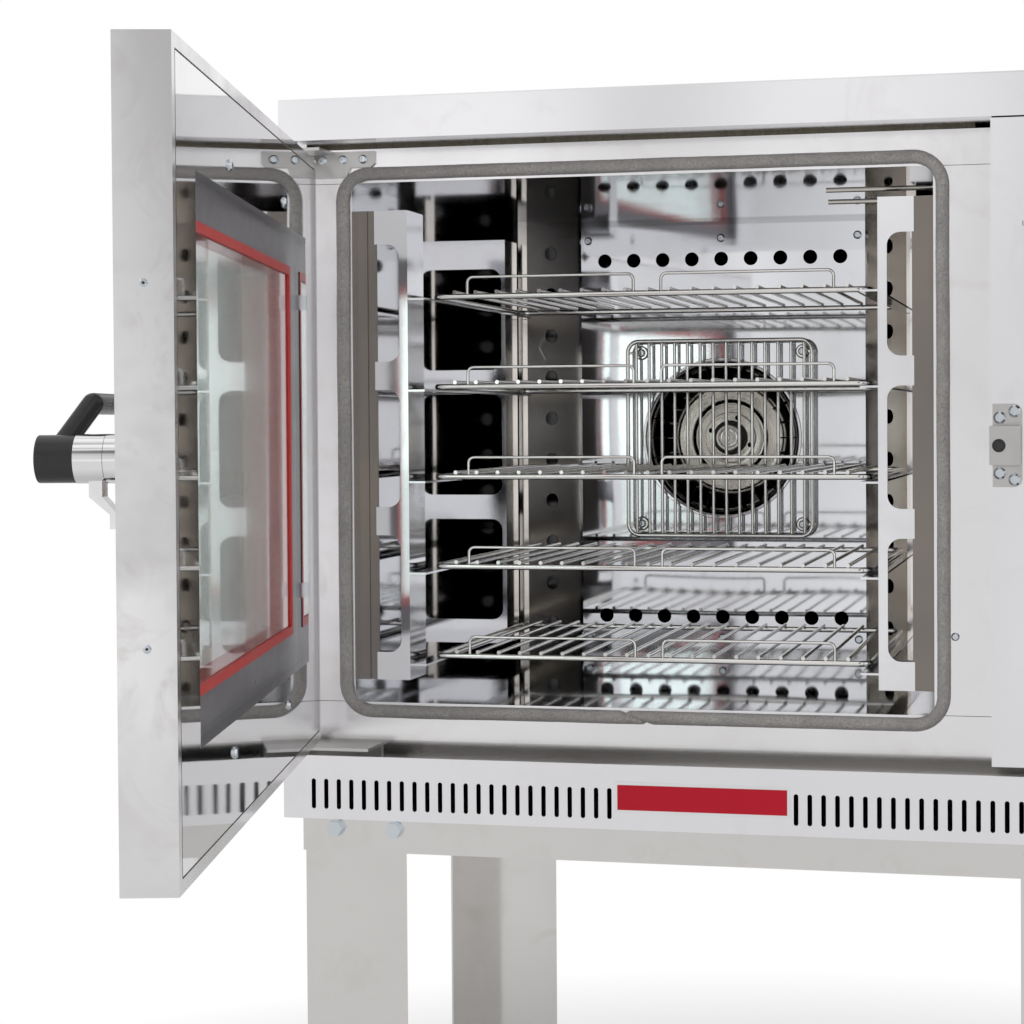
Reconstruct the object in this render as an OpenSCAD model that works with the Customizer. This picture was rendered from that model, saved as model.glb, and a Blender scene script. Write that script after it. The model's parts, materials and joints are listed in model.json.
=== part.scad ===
// Free-standing electric convection oven with a side-hinged glass door, on a four-legged stand.
// Millimetres. The origin is on the floor at the middle of the stand, +Z up, the door faces -Y.

/* [Casing] */
// Width of the casing
body_w = 850; // [780:1:930]
// Height of the casing
body_h = 714; // [660:1:780]
// Depth of the casing behind the door frame
body_d = 660; // [650:5:760]
// How far the control column and the fascias stand ahead of the door frame
column_proud = 50; // [50:1:62]
// Width of the control column
column_w = 151; // [130:1:151]
// Height of the top fascia
fascia_h = 41; // [36:1:41]
// Height of the vent fascia under the door
vent_h = 63; // [58:1:66]
// Thickness of the casing sheets
sheet = 1.5; // [1:0.1:2]

/* [Stand] */
// Height of the stand from the floor to the casing
stand_h = 750; // [550:10:900]
// Distance from the casing's sides in to the legs
stand_inset = 20; // [10:1:40]
// Distance from the casing's back in to the rear legs
stand_back = 131; // [60:1:160]
// How far the stand's front reaches ahead of the door frame
stand_lead = 44; // [38:1:46]
// Width of each face of a folded leg
leg_w = 105; // [90:1:120]
// Height of the stand's rails
rail_h = 33; // [30:1:50]
// Thickness of the stand's sheets
stand_sheet = 2; // [1.5:0.1:2.5]

/* [Cavity] */
// Distance from the door frame's hinge edge to the cavity
frame_margin = 47.5; // [46:0.5:50]
// Distance from the cavity to the control column
column_margin = 56.5; // [55:0.5:62]
// Height of the frame's bottom rail
cavity_lift = 38; // [36:0.5:39]
// Height of the frame's top rail
cavity_drop = 34; // [33:0.5:38]
// Space from the cavity's rear wall to the casing's back
rear_space = 64; // [62:1:90]
// Depth of the fan space behind the baffle
plenum_d = 120; // [112:1:126]
// Thickness of the insulation
wool_t = 38; // [25:1:38]

/* [Door] */
// Thickness of the door
door_t = 40; // [36:1:40]
// Angle at which the door stands open
door_open = 76.3; // [60:0.1:100]
// Width of the door's stiles beside the window
window_set = 76; // [70:1:90]
// Height of the door's rail under the window
window_lift = 88; // [80:1:110]
// Height of the door's rail over the window
window_top = 84; // [80:1:110]

/* [Shelves] */
// Play of a wire shelf between the racks, on each side
shelf_side = 9.5; // [8.5:0.5:12]
// Depth of a wire shelf over its end wires
shelf_d = 330; // [310:1:336]
// Height left free over the top shelf
shelf_top = 112.5; // [104:0.5:150]
// Diameter of a shelf's outer wire
frame_wire = 6; // [5:0.5:7]
// Diameter of a shelf's cross rods
rod_wire = 4; // [3:0.5:5]
// Number of cross rods on a shelf
rod_count = 19; // [13:2:23]

/* [Fan] */
// Diameter of the fan hole in the baffle
fan_hole_d = 190; // [170:1:200]
// Outer diameter of the fan wheel
wheel_d = 200; // [180:1:210]
// Width of the fan wheel
wheel_w = 50; // [40:1:54]
// Number of blades on the fan wheel
blade_count = 24; // [16:2:30]
// Width of the wire grille in front of the fan
grille_w = 230; // [224:1:250]
// Height of the wire grille in front of the fan
grille_h = 240; // [230:1:260]

/* [Hidden] */

// Smoothness of full circles and of wire bends
round_fn = 48;
wire_fn = 24;
hull_fn = 32;
// Overrun of every cut, the clearance of things that slide past each other, and of a turning shaft
cut = 1;
slide_gap = 0.3;
run_gap = 0.05;

// Casing and stand, worked out from the floor and from the door frame's front face
stand_w = body_w - 2 * stand_inset;
stand_d = body_d + stand_lead - stand_back;
front_y = -stand_d / 2 + stand_lead;
panel_y = front_y - column_proud;
rear_y = front_y + body_d;
left_x = -body_w / 2;
right_x = body_w / 2;
base_z = stand_h;
top_z = stand_h + body_h;
lip_z = top_z - fascia_h;
vent_z = base_z + vent_h;

// Door frame: sheet, margins at the hinge side, below and above, and the seams between its four strips
frame_t = 2;
hinge_margin = 10;
gutter_mouth = 9.5;
frame_gap = 3.5;
frame_seam = 0.5;
frame_x0 = left_x + hinge_margin;
frame_x1 = right_x - column_w;
frame_z0 = vent_z + gutter_mouth;
frame_z1 = lip_z - frame_gap;

// Cavity: its sheet and its inner faces
liner_t = 1.5;
cav_w = frame_x1 - frame_x0 - frame_margin - column_margin;
cav_h = frame_z1 - frame_z0 - cavity_lift - cavity_drop;
cav_d = body_d - frame_t - rear_space;
cav_x0 = frame_x0 + frame_margin;
cav_x1 = cav_x0 + cav_w;
cav_cx = cav_x0 + cav_w / 2;
cav_y0 = front_y + frame_t;
cav_y1 = cav_y0 + cav_d;
cav_z0 = frame_z0 + cavity_lift;
cav_z1 = cav_z0 + cav_h;
cav_cz = cav_z0 + cav_h / 2;

// Gasket: a round cord, flattened where it lies on the frame, and the rim inside it
gasket_d = 12;
gasket_rim = 3;
gasket_proud = 8.7;
gasket_bend = 28;

// Vent fascia: slots and the bare badge between them
slot_w = 4.5;
slot_h = 30;
slot_count = 24;
slot_set = 90.8;
slot_edge = 31.75;
slot_pitch = (body_w / 2 - slot_set - slot_edge) / (slot_count - 1);
slot_drop = 6.5;
badge_w = 171;
badge_h = 30;
badge_t = 1;
badge_border = 3;
badge_field_t = 0.8;

// Drip gutter between the frame and the vent fascia
gutter_t = 1.2;
gutter_depth = 10;
gutter_front_drop = 2;

// Control column: its gaps and the places of its knobs and lamps down its middle
column_gap = 1.5;
column_foot = 1;
column_x = frame_x1 + column_w / 2;
knob_d = 50;
knob_h = 22;
knob_skirt_h = 6;
knob_grip_d = 38;
knob_mark_w = 3;
knob_mark_t = 0.8;
knob_gap = 0.5;
knob_floor = 5;
knob_shaft_d = 6;
knob_tops = [98, 208, 418];
function knob_z(i) = lip_z - column_gap - knob_tops[i];
unit_w = 46;
unit_d = 40;
lamp_d = 12;
lamp_h = 4;
lamp_tops = [44, 318];

// Strike on the column for the door's hook
strike_w = 27;
strike_h = 77;
strike_t = 2;
strike_in = 1.5;
strike_corner = 8;
keeper_w = 28.3;
keeper_h = 36;
keeper_over = 1;
keeper_proud = 13.5;
keeper_hole_d = 10.3;
keeper_hole_set = 8.7;
strike_screw_d = 11.5;
strike_screw_h = 3;

// Hinge: pivot ahead of the frame, pins, arms and the door's leaves
pivot_lead = 30;
hinge_side_gap = 6;
door_gap = 9;
door_lift = 3;
pin_d = 8;
arm_t = 3;
arm_reach = 12;
arm_side = 8;
upper_arm_w = 38;
lower_arm_w = 84;
upper_plate_in = 9.4;
upper_plate_w = 64;
upper_plate_h = 26;
upper_plate_tab = 9.7;
upper_plate_cut = 4;
upper_plate_tab_w = 34;
upper_arm_gap = 5.5;
lower_plate_h = 14;
leaf_t = 3;
leaf_half = 10;
leaf_w = 38;
leaf_boss_d = 16;
hinge_screw_d = 9;
hinge_screw_h = 2.5;
hinge_screw_pitch = 21.5;
pivot_x = frame_x0;
pivot_y = front_y - pivot_lead;

// Door, drawn closed and then turned open about its pins
door_sheet = 1.2;
door_lip = 10;
door_seam = 1.5;
door_side_gap = 3;
door_top_gap = 14;
door_x0 = pivot_x + hinge_side_gap;
door_x1 = frame_x1 - door_side_gap;
door_w = door_x1 - door_x0;
door_in = front_y - door_gap;
door_out = door_in - door_t;
door_z0 = frame_z0 + door_lift;
door_z1 = frame_z1 - door_top_gap;
door_h = door_z1 - door_z0;
win_x0 = door_x0 + window_set;
win_x1 = door_x1 - window_set;
win_z0 = door_z0 + window_lift;
win_z1 = door_z1 - window_top;
recess = 11;
glass_t = 4;
glass_lap = 8;
border_w = 30;
border_t = 1;
seal_w = 8;
seal_t = 2;
glass_y = door_in - recess - border_t;

// Small fittings on the door
panel_screw_shares = [0.3015, 0.694];
panel_screw_d = 10;
panel_screw_h = 2.5;
panel_screw_rise = 64;
rivet_d = 6;
rivet_h = 1;
rivet_shares = [0.71, 0.288];
clip_shares = [0.748, 0.271];
clip_w = 12;
clip_h = 14;
clip_t = 4;
bumper_d = 12;
bumper_h = 6;
bumper_in = 83;

// Handle on the door's outer face, with its hook hanging down and its lever to the hinge side
spindle_in = 38;
spindle_rise = 4;
spindle_d = 12;
spindle_end = 57;
spindle_x = door_x1 - spindle_in;
spindle_z = (door_z0 + door_z1) / 2 + spindle_rise;
plate_w = 30;
plate_h = 77;
plate_t = 5;
boss_d = 34;
boss_top = 14;
sleeve_top = 34;
cap_top = 60;
cap_d = 33;
hook_w = 16;
hook_reach = 48;
hook_knee = 26;
hook_neck = 38;
hook_out = 25;
hook_low = 5.5;
hook_tip = 11;
hook_root = 12;
hook_back = 16;
grip_d = 15;
grip_off = 29;
grip_rise = 38;
grip_near = 22;
grip_far = 134;

// Screws that hold the cavity's fittings
cavity_screw_d = 10;
cavity_screw_h = 3;
screw_socket_share = 0.45;
socket_depth_share = 0.6;
frame_screw_d = 8;
frame_screw_in = 36.5;
frame_screw_drop = 183;

// Baffle: sheet, wings that slant forward with a lip at their edge, air holes and screws
baffle_t = 1.5;
baffle_y = cav_y1 - plenum_d;
baffle_margin = 117.9;
wing_run = 54;
wing_lip = 11;
wing_hole_in = 30.5;
baffle_x0 = cav_x0 + baffle_margin;
baffle_x1 = cav_x1 - baffle_margin;
air_hole_d = 17;
row_count = 9;
row_in = 29.82;
row_edge = 45.5;
row_pitch = (baffle_x1 - baffle_x0 - 2 * row_in) / (row_count - 1);
row_rise = cav_h / 2 - row_edge;
wing_count = 10;
wing_edge = 37.5;
wing_pitch = (cav_h - 2 * wing_edge) / (wing_count - 1);
baffle_screw_edge = 20.5;
baffle_screw_rise = cav_h / 2 - baffle_screw_edge;
baffle_screw_in = 9;
fan_lip_t = 1.5;
fan_lip_d = 12;
wing_boss_d = 34;
wing_boss_t = 0.6;
wing_boss_drop = 14;
wing_boss_row = 7;

// Fan grille: ring, rods, corner eyes
grille_wire = 5;
grille_rod = 4;
grille_rods = 14;
grille_pitch = 15.8;
grille_corner = 14;
grille_off = 18;
rod_end_in = 6;
eye_in = 16;
eye_d = 14;
eye_t = 3;
eye_hole_d = 6;

// Fan wheel, its shaft, and the motor behind the cavity
wheel_sheet = 1.5;
wheel_set = 14;
wheel_y = baffle_y + wheel_set;
wheel_hole_turn = 20;
blade_t = 1.5;
blade_in_d = 138;
wheel_eye_d = 186;
wheel_disc_over = 6;
emboss_d = 86;
emboss_h = 4;
hub_d = 34;
hub_h = 14;
hub_bolt_d = 14;
hub_bolt_h = 4;
wheel_hole_d = 6;
wheel_hole_r = 26;
shaft_d = 12;
shaft_hole_gap = 2;
motor_plate_w = 180;
motor_plate_t = 2;
motor_d = 112;
motor_l = 60;
motor_grip = 40;
cover_w = 224;
cover_d = 75;
cover_t = 1.2;
cover_slots = 9;
cover_slot_pitch = 20;
cover_slot_h = 120;
motor_window = 200;

// Heating element: two rings round the wheel, with legs to the rear wall
element_d = 8;
element_r = 130;
element_step = 14;
element_front = 28;
element_back = 50;
element_leg = 24;

// Thermostat bulbs under the cavity's ceiling
bulb_d = 5;
bulb_l = 105;
bulb_drops = [13, 23];
bulb_backs = [68, 84];
bulb_nut_d = 12;
bulb_nut_l = 6;

// Racks: folded uprights with notches, and a ledge for each shelf
shelf_front = 56;
rack_t = 1.5;
rack_gap = 54.5;
rack_flange = 35;
rack_front = 12;
rack_strip = 50;
rack_rear_lap = 26;
rack_rear = shelf_front + shelf_d - rack_rear_lap;
rack_rear_strip = 50;
rack_lift = 21.5;
rack_drop = 27;
rack_h = cav_h - rack_lift - rack_drop;
rack_ear = 24;
notch_step_share = 0.31;
notch_bridge = 28.7;
notch_pitch = rack_h * notch_step_share;
notch_h = notch_pitch - notch_bridge;
notch_shift = -3;
notch_bend = 13;
notch_left = 9;
rear_notch_left = 5;
ledge_w = 17.5;
ledge_t = 2;

// Posts that carry the racks: a plate from the wall to each front upright, with a step down its length
post_t = 1.5;
post_step = 12;
post_lap = 2;

// Shelves: number, places, bends, and the two stop loops at the front
shelf_w = cav_w - 2 * rack_gap - 2 * shelf_side;
shelf_count = 5;
shelf_lift = 41.3;
shelf_pitch = (cav_h - shelf_lift - shelf_top) / (shelf_count - 1);
shelf_bend = 12;
rod_over = 2;
rod_sink = 0.5;
stop_w_share = 0.39;
stop_side_share = 0.223;
stop_w = shelf_w * stop_w_share;
stop_side = shelf_w * stop_side_share;
stop_h = 20;
stop_wire = 3;
stop_bend = 6;
function shelf_z(i) = cav_z0 + shelf_lift + i * shelf_pitch;

// Stand: rails' flanges, bolts, feet
rail_flange = 30;
bolt_d = 8;
bolt_af = 14.3;
bolt_head_h = 6;
bolt_len = 14;
bolt_drop = 9.5;
bolt_ins = [33, 94];
washer_d = 17.5;
washer_t = 1.6;
bolt_hole_gap = 0.5;
foot_h = 40;
foot_plate = 100;
foot_plate_t = 5;
foot_stem_d = 20;
foot_cap_t = 4;
foot_hole_d = 12;
foot_hole_in = 34;

// Cable gland at the back
gland_d = 26;
gland_bore = 14;
gland_l = 28;
gland_nut_d = 36;
gland_nut_l = 8;
gland_in = 80;
gland_up = 90;
gland_neck_d = 22;

// A box from one corner to the opposite one
module block(low, high) {
    translate(low) cube(high - low);
}

// A cylinder from a point, along +X, +Y or +Z
module bar_x(from, d, l) {
    translate(from) rotate([0, 90, 0]) cylinder(d = d, h = l, $fn = round_fn);
}

module bar_y(from, d, l) {
    translate(from) rotate([-90, 0, 0]) cylinder(d = d, h = l, $fn = round_fn);
}

module bar_z(from, d, l) {
    translate(from) cylinder(d = d, h = l, $fn = round_fn);
}

// A section swept round a rectangle in the XY plane: its X points outward and its Y along +Z
module ring(w, h, bend) {
    for (quarter = [0 : 3]) {
        long = quarter % 2 == 0 ? h : w;
        out = quarter % 2 == 0 ? w : h;
        rotate(90 * quarter) {
            translate([out / 2, long / 2 - bend, 0]) rotate([90, 0, 0])
                linear_extrude(long - 2 * bend) children();
            translate([out / 2 - bend, long / 2 - bend, 0])
                rotate_extrude(angle = 90, $fn = round_fn) translate([bend, 0]) children();
        }
    }
}

// A flat ring from an outer rectangle to one that is smaller by band on every side, facing -Y
module window_ring(x0, x1, z0, z1, band, y, t) {
    difference() {
        block([x0, y, z0], [x1, y + t, z1]);
        block([x0 + band, y - cut, z0 + band], [x1 - band, y + t + cut, z1 - band]);
    }
}

// A low round head with a socket, standing on the XY plane and facing +Z
module screw_head(d, h) {
    difference() {
        rotate_extrude($fn = round_fn) polygon([
            [0, 0],
            [d / 2, 0],
            [d / 2, h / 3],
            [d / 3, h],
            [0, h]
        ]);
        translate([0, 0, h * (1 - socket_depth_share)])
            cylinder(d = d * screw_socket_share, h = h, $fn = 6);
    }
}

// A screw head on a face that looks towards -Y
module front_screw(x, y, z, d, h) {
    translate([x, y, z]) rotate([90, 0, 0]) screw_head(d, h);
}

// A slot with round ends, upright in the XY plane
module slot_shape(w, h) {
    translate([-w / 2, -h / 2 + w / 2]) square([w, h - w]);
    for (end = [-1, 1])
        translate([0, end * (h - w) / 2]) circle(d = w, $fn = wire_fn);
}

// Cavity
module cavity_liner() {
    color("lightgray") difference() {
        block(
            [cav_x0 - liner_t, cav_y0, cav_z0 - liner_t],
            [cav_x1 + liner_t, cav_y1 + liner_t, cav_z1 + liner_t]
        );
        block([cav_x0, cav_y0 - cut, cav_z0], [cav_x1, cav_y1, cav_z1]);
        bar_y([cav_cx, cav_y1 - cut, cav_cz], shaft_d + 2 * shaft_hole_gap, liner_t + 2 * cut);
    }
}

module door_frame() {
    back = front_y + frame_t;
    color("gainsboro") {
        block([frame_x0, front_y, cav_z1], [frame_x1, back, frame_z1]);
        block([frame_x0, front_y, frame_z0], [frame_x1, back, cav_z0]);
        block([frame_x0, front_y, cav_z0 + frame_seam], [cav_x0, back, cav_z1 - frame_seam]);
        block([cav_x1, front_y, cav_z0 + frame_seam], [frame_x1, back, cav_z1 - frame_seam]);
    }
}

module cavity_gasket() {
    color("dimgray")
        translate([cav_cx, front_y, cav_cz]) rotate([90, 0, 0])
            ring(cav_w + 2 * gasket_rim + gasket_d, cav_h + 2 * gasket_rim + gasket_d, gasket_bend)
                intersection() {
                    translate([0, gasket_proud - gasket_d / 2]) circle(d = gasket_d, $fn = round_fn);
                    translate([-gasket_d, 0]) square([2 * gasket_d, gasket_d]);
                }
}

module insulation() {
    color("khaki") difference() {
        block(
            [cav_x0 - liner_t - wool_t, cav_y0, cav_z0 - liner_t - wool_t],
            [cav_x1 + liner_t + wool_t, cav_y1 + liner_t + wool_t, cav_z1 + liner_t + wool_t]
        );
        block(
            [cav_x0 - liner_t, cav_y0 - cut, cav_z0 - liner_t],
            [cav_x1 + liner_t, cav_y1 + liner_t, cav_z1 + liner_t]
        );
        bar_y([cav_cx, cav_y1, cav_cz], shaft_d + 4 * shaft_hole_gap, liner_t + wool_t + cut);
    }
}

// Casing
module top_panel() {
    color("gainsboro") block([left_x, panel_y, top_z - sheet], [right_x, rear_y, top_z]);
}

module left_side_panel() {
    color("gainsboro") {
        block([left_x, front_y, base_z], [left_x + sheet, rear_y, top_z - sheet]);
        block([left_x + sheet, front_y, base_z + sheet], [frame_x0, front_y + sheet, top_z - sheet]);
    }
}

module right_side_panel() {
    color("gainsboro") block([right_x - sheet, panel_y + sheet, base_z], [right_x, rear_y, top_z - sheet]);
}

module rear_panel() {
    color("silver") difference() {
        block([left_x + sheet, rear_y - sheet, base_z + sheet], [right_x - sheet, rear_y, top_z - sheet]);
        block(
            [cav_cx - motor_window / 2, rear_y - sheet - cut, cav_cz - motor_window / 2],
            [cav_cx + motor_window / 2, rear_y + cut, cav_cz + motor_window / 2]
        );
        bar_y([right_x - gland_in, rear_y - sheet - cut, base_z + gland_up], gland_neck_d, sheet + 2 * cut);
    }
}

module base_pan() {
    color("silver") block(
        [left_x + sheet, panel_y + sheet, base_z],
        [right_x - sheet, rear_y, base_z + sheet]
    );
}

module top_fascia() {
    color("whitesmoke") {
        block([left_x, panel_y, lip_z], [right_x, panel_y + sheet, top_z - sheet]);
        block([left_x, panel_y + sheet, lip_z], [right_x - sheet, front_y, lip_z + sheet]);
        block([left_x, panel_y + sheet, lip_z], [left_x + sheet, front_y, top_z - sheet]);
    }
}

module vent_fascia() {
    slot_z = base_z + vent_h / 2 - slot_drop;
    color("whitesmoke") {
        difference() {
            block([left_x, panel_y, base_z], [right_x, panel_y + sheet, vent_z]);
            for (side = [-1, 1], i = [0 : slot_count - 1])
                translate([side * (slot_set + i * slot_pitch), panel_y + sheet + cut, slot_z])
                    rotate([90, 0, 0]) linear_extrude(sheet + 2 * cut) slot_shape(slot_w, slot_h);
        }
        block([left_x, panel_y + sheet, base_z], [left_x + sheet, front_y, vent_z]);
    }
}

module badge_plate() {
    middle = base_z + vent_h / 2;
    color("silver") block(
        [-badge_w / 2, panel_y - badge_t, middle - badge_h / 2],
        [badge_w / 2, panel_y, middle + badge_h / 2]
    );
}

module badge_field() {
    middle = base_z + vent_h / 2;
    face = panel_y - badge_t;
    color("firebrick") block(
        [-badge_w / 2 + badge_border, face - badge_field_t, middle - badge_h / 2 + badge_border],
        [badge_w / 2 - badge_border, face, middle + badge_h / 2 - badge_border]
    );
}

module drip_gutter() {
    floor_z = vent_z - gutter_depth;
    inner_y = panel_y + sheet;
    lip = vent_z - gutter_front_drop;
    color("darkgray") {
        block([left_x + sheet, inner_y, floor_z], [right_x - sheet, front_y, floor_z + gutter_t]);
        block([left_x + sheet, inner_y, floor_z], [right_x - sheet, inner_y + gutter_t, lip]);
        block([frame_x0, front_y, floor_z], [right_x - sheet, front_y + gutter_t, frame_z0]);
    }
}

// Controls
module control_panel() {
    low = frame_z0 - column_foot;
    high = lip_z - column_gap;
    color("whitesmoke") difference() {
        union() {
            block([frame_x1, panel_y, low], [right_x, panel_y + sheet, high]);
            block([frame_x1, panel_y + sheet, low], [frame_x1 + sheet, front_y, high]);
        }
        for (i = [0 : len(knob_tops) - 1])
            bar_y([column_x, panel_y - cut, knob_z(i)], knob_shaft_d + 4 * slide_gap, sheet + 2 * cut);
        for (drop = lamp_tops)
            bar_y([column_x, panel_y - cut, high - drop], lamp_d - 4 * slide_gap, sheet + 2 * cut);
    }
}

module control_units() {
    color("darkslategray") for (i = [0 : len(knob_tops) - 1]) {
        translate([column_x - unit_w / 2, panel_y + sheet, knob_z(i) - unit_w / 2])
            cube([unit_w, unit_d, unit_w]);
        bar_y(
            [column_x, panel_y - knob_h + knob_floor, knob_z(i)],
            knob_shaft_d,
            knob_h - knob_floor + sheet
        );
    }
}

module pilot_lamps() {
    color("orange") for (drop = lamp_tops)
        bar_y([column_x, panel_y - lamp_h, lip_z - column_gap - drop], lamp_d, lamp_h);
}

module knob(i) {
    back = panel_y - knob_gap;
    face = panel_y - knob_h - knob_gap;
    color("black") difference() {
        union() {
            bar_y([column_x, back - knob_skirt_h, knob_z(i)], knob_d, knob_skirt_h);
            bar_y([column_x, face, knob_z(i)], knob_grip_d, knob_h);
            block(
                [column_x - knob_mark_w / 2, face, knob_z(i)],
                [column_x + knob_mark_w / 2, back - knob_skirt_h, knob_z(i) + knob_d / 2 - knob_mark_t]
            );
        }
        bar_y(
            [column_x, face + knob_floor, knob_z(i)],
            knob_shaft_d + 2 * run_gap,
            knob_h
        );
    }
}

module thermostat_knob() knob(0);

module timer_knob() knob(1);

module selector_knob() knob(2);

// Strike and hinge brackets
module strike_plate() {
    x0 = frame_x1 + strike_in;
    face = panel_y - strike_t;
    keeper_x0 = frame_x1 - keeper_over;
    keeper_x1 = keeper_x0 + keeper_w;
    color("silver") difference() {
        union() {
            translate([0, panel_y, 0]) rotate([90, 0, 0]) linear_extrude(strike_t) {
                translate([x0, spindle_z - strike_h / 2]) square([strike_w - strike_corner, strike_h]);
                translate([x0, spindle_z - strike_h / 2 + strike_corner])
                    square([strike_w, strike_h - 2 * strike_corner]);
                for (end = [-1, 1])
                    translate([
                        x0 + strike_w - strike_corner,
                        spindle_z + end * (strike_h / 2 - strike_corner)
                    ])
                        circle(r = strike_corner, $fn = round_fn);
            }
            block(
                [keeper_x0, panel_y - keeper_proud, spindle_z - keeper_h / 2],
                [keeper_x1, panel_y - keeper_proud + strike_t, spindle_z + keeper_h / 2]
            );
            block(
                [keeper_x1 - strike_t, panel_y - keeper_proud, spindle_z - keeper_h / 2],
                [keeper_x1, face, spindle_z + keeper_h / 2]
            );
        }
        bar_y(
            [keeper_x0 + keeper_hole_set, panel_y - keeper_proud - cut, spindle_z],
            keeper_hole_d,
            strike_t + 2 * cut
        );
    }
}

module upper_hinge_bracket() {
    x0 = frame_x0 + upper_plate_in;
    x1 = x0 + upper_plate_w;
    z1 = door_z1 + leaf_t + upper_arm_gap + slide_gap + arm_t;
    z0 = z1 - upper_plate_h;
    color("silver") {
        translate([0, front_y, 0]) rotate([90, 0, 0]) linear_extrude(arm_t) polygon([
            [x0, z1],
            [x1, z1],
            [x1, z0 + upper_plate_tab + upper_plate_cut],
            [x1 - upper_plate_cut, z0 + upper_plate_tab],
            [x0 + upper_plate_tab_w + upper_plate_cut, z0 + upper_plate_tab],
            [x0 + upper_plate_tab_w, z0],
            [x0, z0]
        ]);
        block(
            [pivot_x - arm_side, pivot_y - arm_reach, z1 - arm_t],
            [pivot_x - arm_side + upper_arm_w, front_y - arm_t, z1]
        );
        bar_z([pivot_x, pivot_y, door_z1 + slide_gap], pin_d, z1 - arm_t - door_z1 - slide_gap);
    }
}

module lower_hinge_bracket() {
    arm_z1 = frame_z0 - leaf_t;
    color("silver") {
        block(
            [pivot_x - arm_side, pivot_y - arm_reach, arm_z1 - arm_t],
            [pivot_x - arm_side + lower_arm_w, front_y, arm_z1]
        );
        block(
            [frame_x0, front_y - arm_t, arm_z1 - lower_plate_h],
            [pivot_x - arm_side + lower_arm_w, front_y, arm_z1 - arm_t]
        );
        bar_z([pivot_x, pivot_y, arm_z1], pin_d, door_z0 - arm_z1 - slide_gap);
    }
}

// Every small screw: strike, hinge, frame, baffle and grille
module screws() {
    strike_x = frame_x1 + strike_in;
    strike_face = panel_y - strike_t;
    hinge_x = frame_x0 + upper_plate_in;
    hinge_z = door_z1 + leaf_t + upper_arm_gap + slide_gap + arm_t - upper_plate_h / 2 + upper_plate_tab / 2;
    color("white") {
        for (end = [-1, 1]) {
            front_screw(
                strike_x + strike_screw_d / 2 + 0.5 * strike_in,
                strike_face,
                spindle_z + end * (keeper_h / 2 + strike_screw_d * 2 / 3),
                strike_screw_d,
                strike_screw_h
            );
            front_screw(
                strike_x + strike_w - strike_screw_d * 3 / 5,
                strike_face,
                spindle_z + end * (strike_h / 2 - strike_screw_d * 3 / 5),
                strike_screw_d,
                strike_screw_h
            );
        }
        for (i = [0 : 2])
            front_screw(
                hinge_x + hinge_screw_d + i * hinge_screw_pitch,
                front_y - arm_t,
                hinge_z,
                hinge_screw_d,
                hinge_screw_h
            );
        front_screw(
            frame_x1 - frame_screw_in,
            front_y,
            spindle_z - frame_screw_drop,
            frame_screw_d,
            hinge_screw_h
        );
        for (side = [-1, 0, 1], end = [-1, 1])
            front_screw(
                (baffle_x0 + baffle_x1) / 2 + side * ((baffle_x1 - baffle_x0) / 2 - baffle_screw_in),
                baffle_y,
                cav_cz + end * baffle_screw_rise,
                cavity_screw_d,
                cavity_screw_h
            );
        for (side = [-1, 1], end = [-1, 1])
            front_screw(
                cav_cx + side * (grille_w / 2 - eye_in),
                baffle_y - eye_t,
                cav_cz + end * (grille_h / 2 - eye_in),
                cavity_screw_d,
                cavity_screw_h
            );
    }
}

// Air baffle with its two slanted wings, drawn as one folded strip
module fan_baffle() {
    fold = baffle_t * tan(22.5);
    lip_y = baffle_y - wing_run;
    outline = [
        [baffle_x0 - wing_run - wing_lip, lip_y],
        [baffle_x0 - wing_run, lip_y],
        [baffle_x0, baffle_y],
        [baffle_x1, baffle_y],
        [baffle_x1 + wing_run, lip_y],
        [baffle_x1 + wing_run + wing_lip, lip_y],
        [baffle_x1 + wing_run + wing_lip, lip_y + baffle_t],
        [baffle_x1 + wing_run + fold, lip_y + baffle_t],
        [baffle_x1 + fold, baffle_y + baffle_t],
        [baffle_x0 - fold, baffle_y + baffle_t],
        [baffle_x0 - wing_run - fold, lip_y + baffle_t],
        [baffle_x0 - wing_run - wing_lip, lip_y + baffle_t]
    ];
    color("lightgray") {
        difference() {
            union() {
                translate([0, 0, cav_z0]) linear_extrude(cav_h) polygon(outline);
                on_wing(-1, wing_boss_row, -wing_boss_drop)
                    translate([0, 0, -wing_boss_t]) cylinder(d = wing_boss_d, h = 2 * wing_boss_t, $fn = 6);
            }
            bar_y([cav_cx, baffle_y - cut, cav_cz], fan_hole_d, baffle_t + 2 * cut);
            for (i = [0 : row_count - 1], end = [-1, 1])
                bar_y(
                    [cav_cx + (i - (row_count - 1) / 2) * row_pitch, baffle_y - cut, cav_cz + end * row_rise],
                    air_hole_d,
                    baffle_t + 2 * cut
                );
            for (side = [-1, 1], i = [0 : wing_count - 1])
                on_wing(side, i, 0)
                    translate([0, 0, -cut - wing_boss_t])
                        cylinder(d = air_hole_d, h = baffle_t + wing_boss_t + 2 * cut, $fn = round_fn);
        }
        difference() {
            bar_y([cav_cx, baffle_y, cav_cz], fan_hole_d + 2 * fan_lip_t, fan_lip_d);
            bar_y([cav_cx, baffle_y - cut, cav_cz], fan_hole_d, fan_lip_d + 2 * cut);
        }
    }
}

// A place on the middle line of a wing's front face, at hole i, with +Z into the sheet
module on_wing(side, i, rise) {
    translate([
        (baffle_x0 + baffle_x1) / 2 + side * ((baffle_x1 - baffle_x0) / 2 + wing_hole_in),
        baffle_y - wing_hole_in,
        cav_cz + (i - (wing_count - 1) / 2) * wing_pitch + rise
    ])
        rotate([-90, 0, -45 * side]) children();
}

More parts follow.
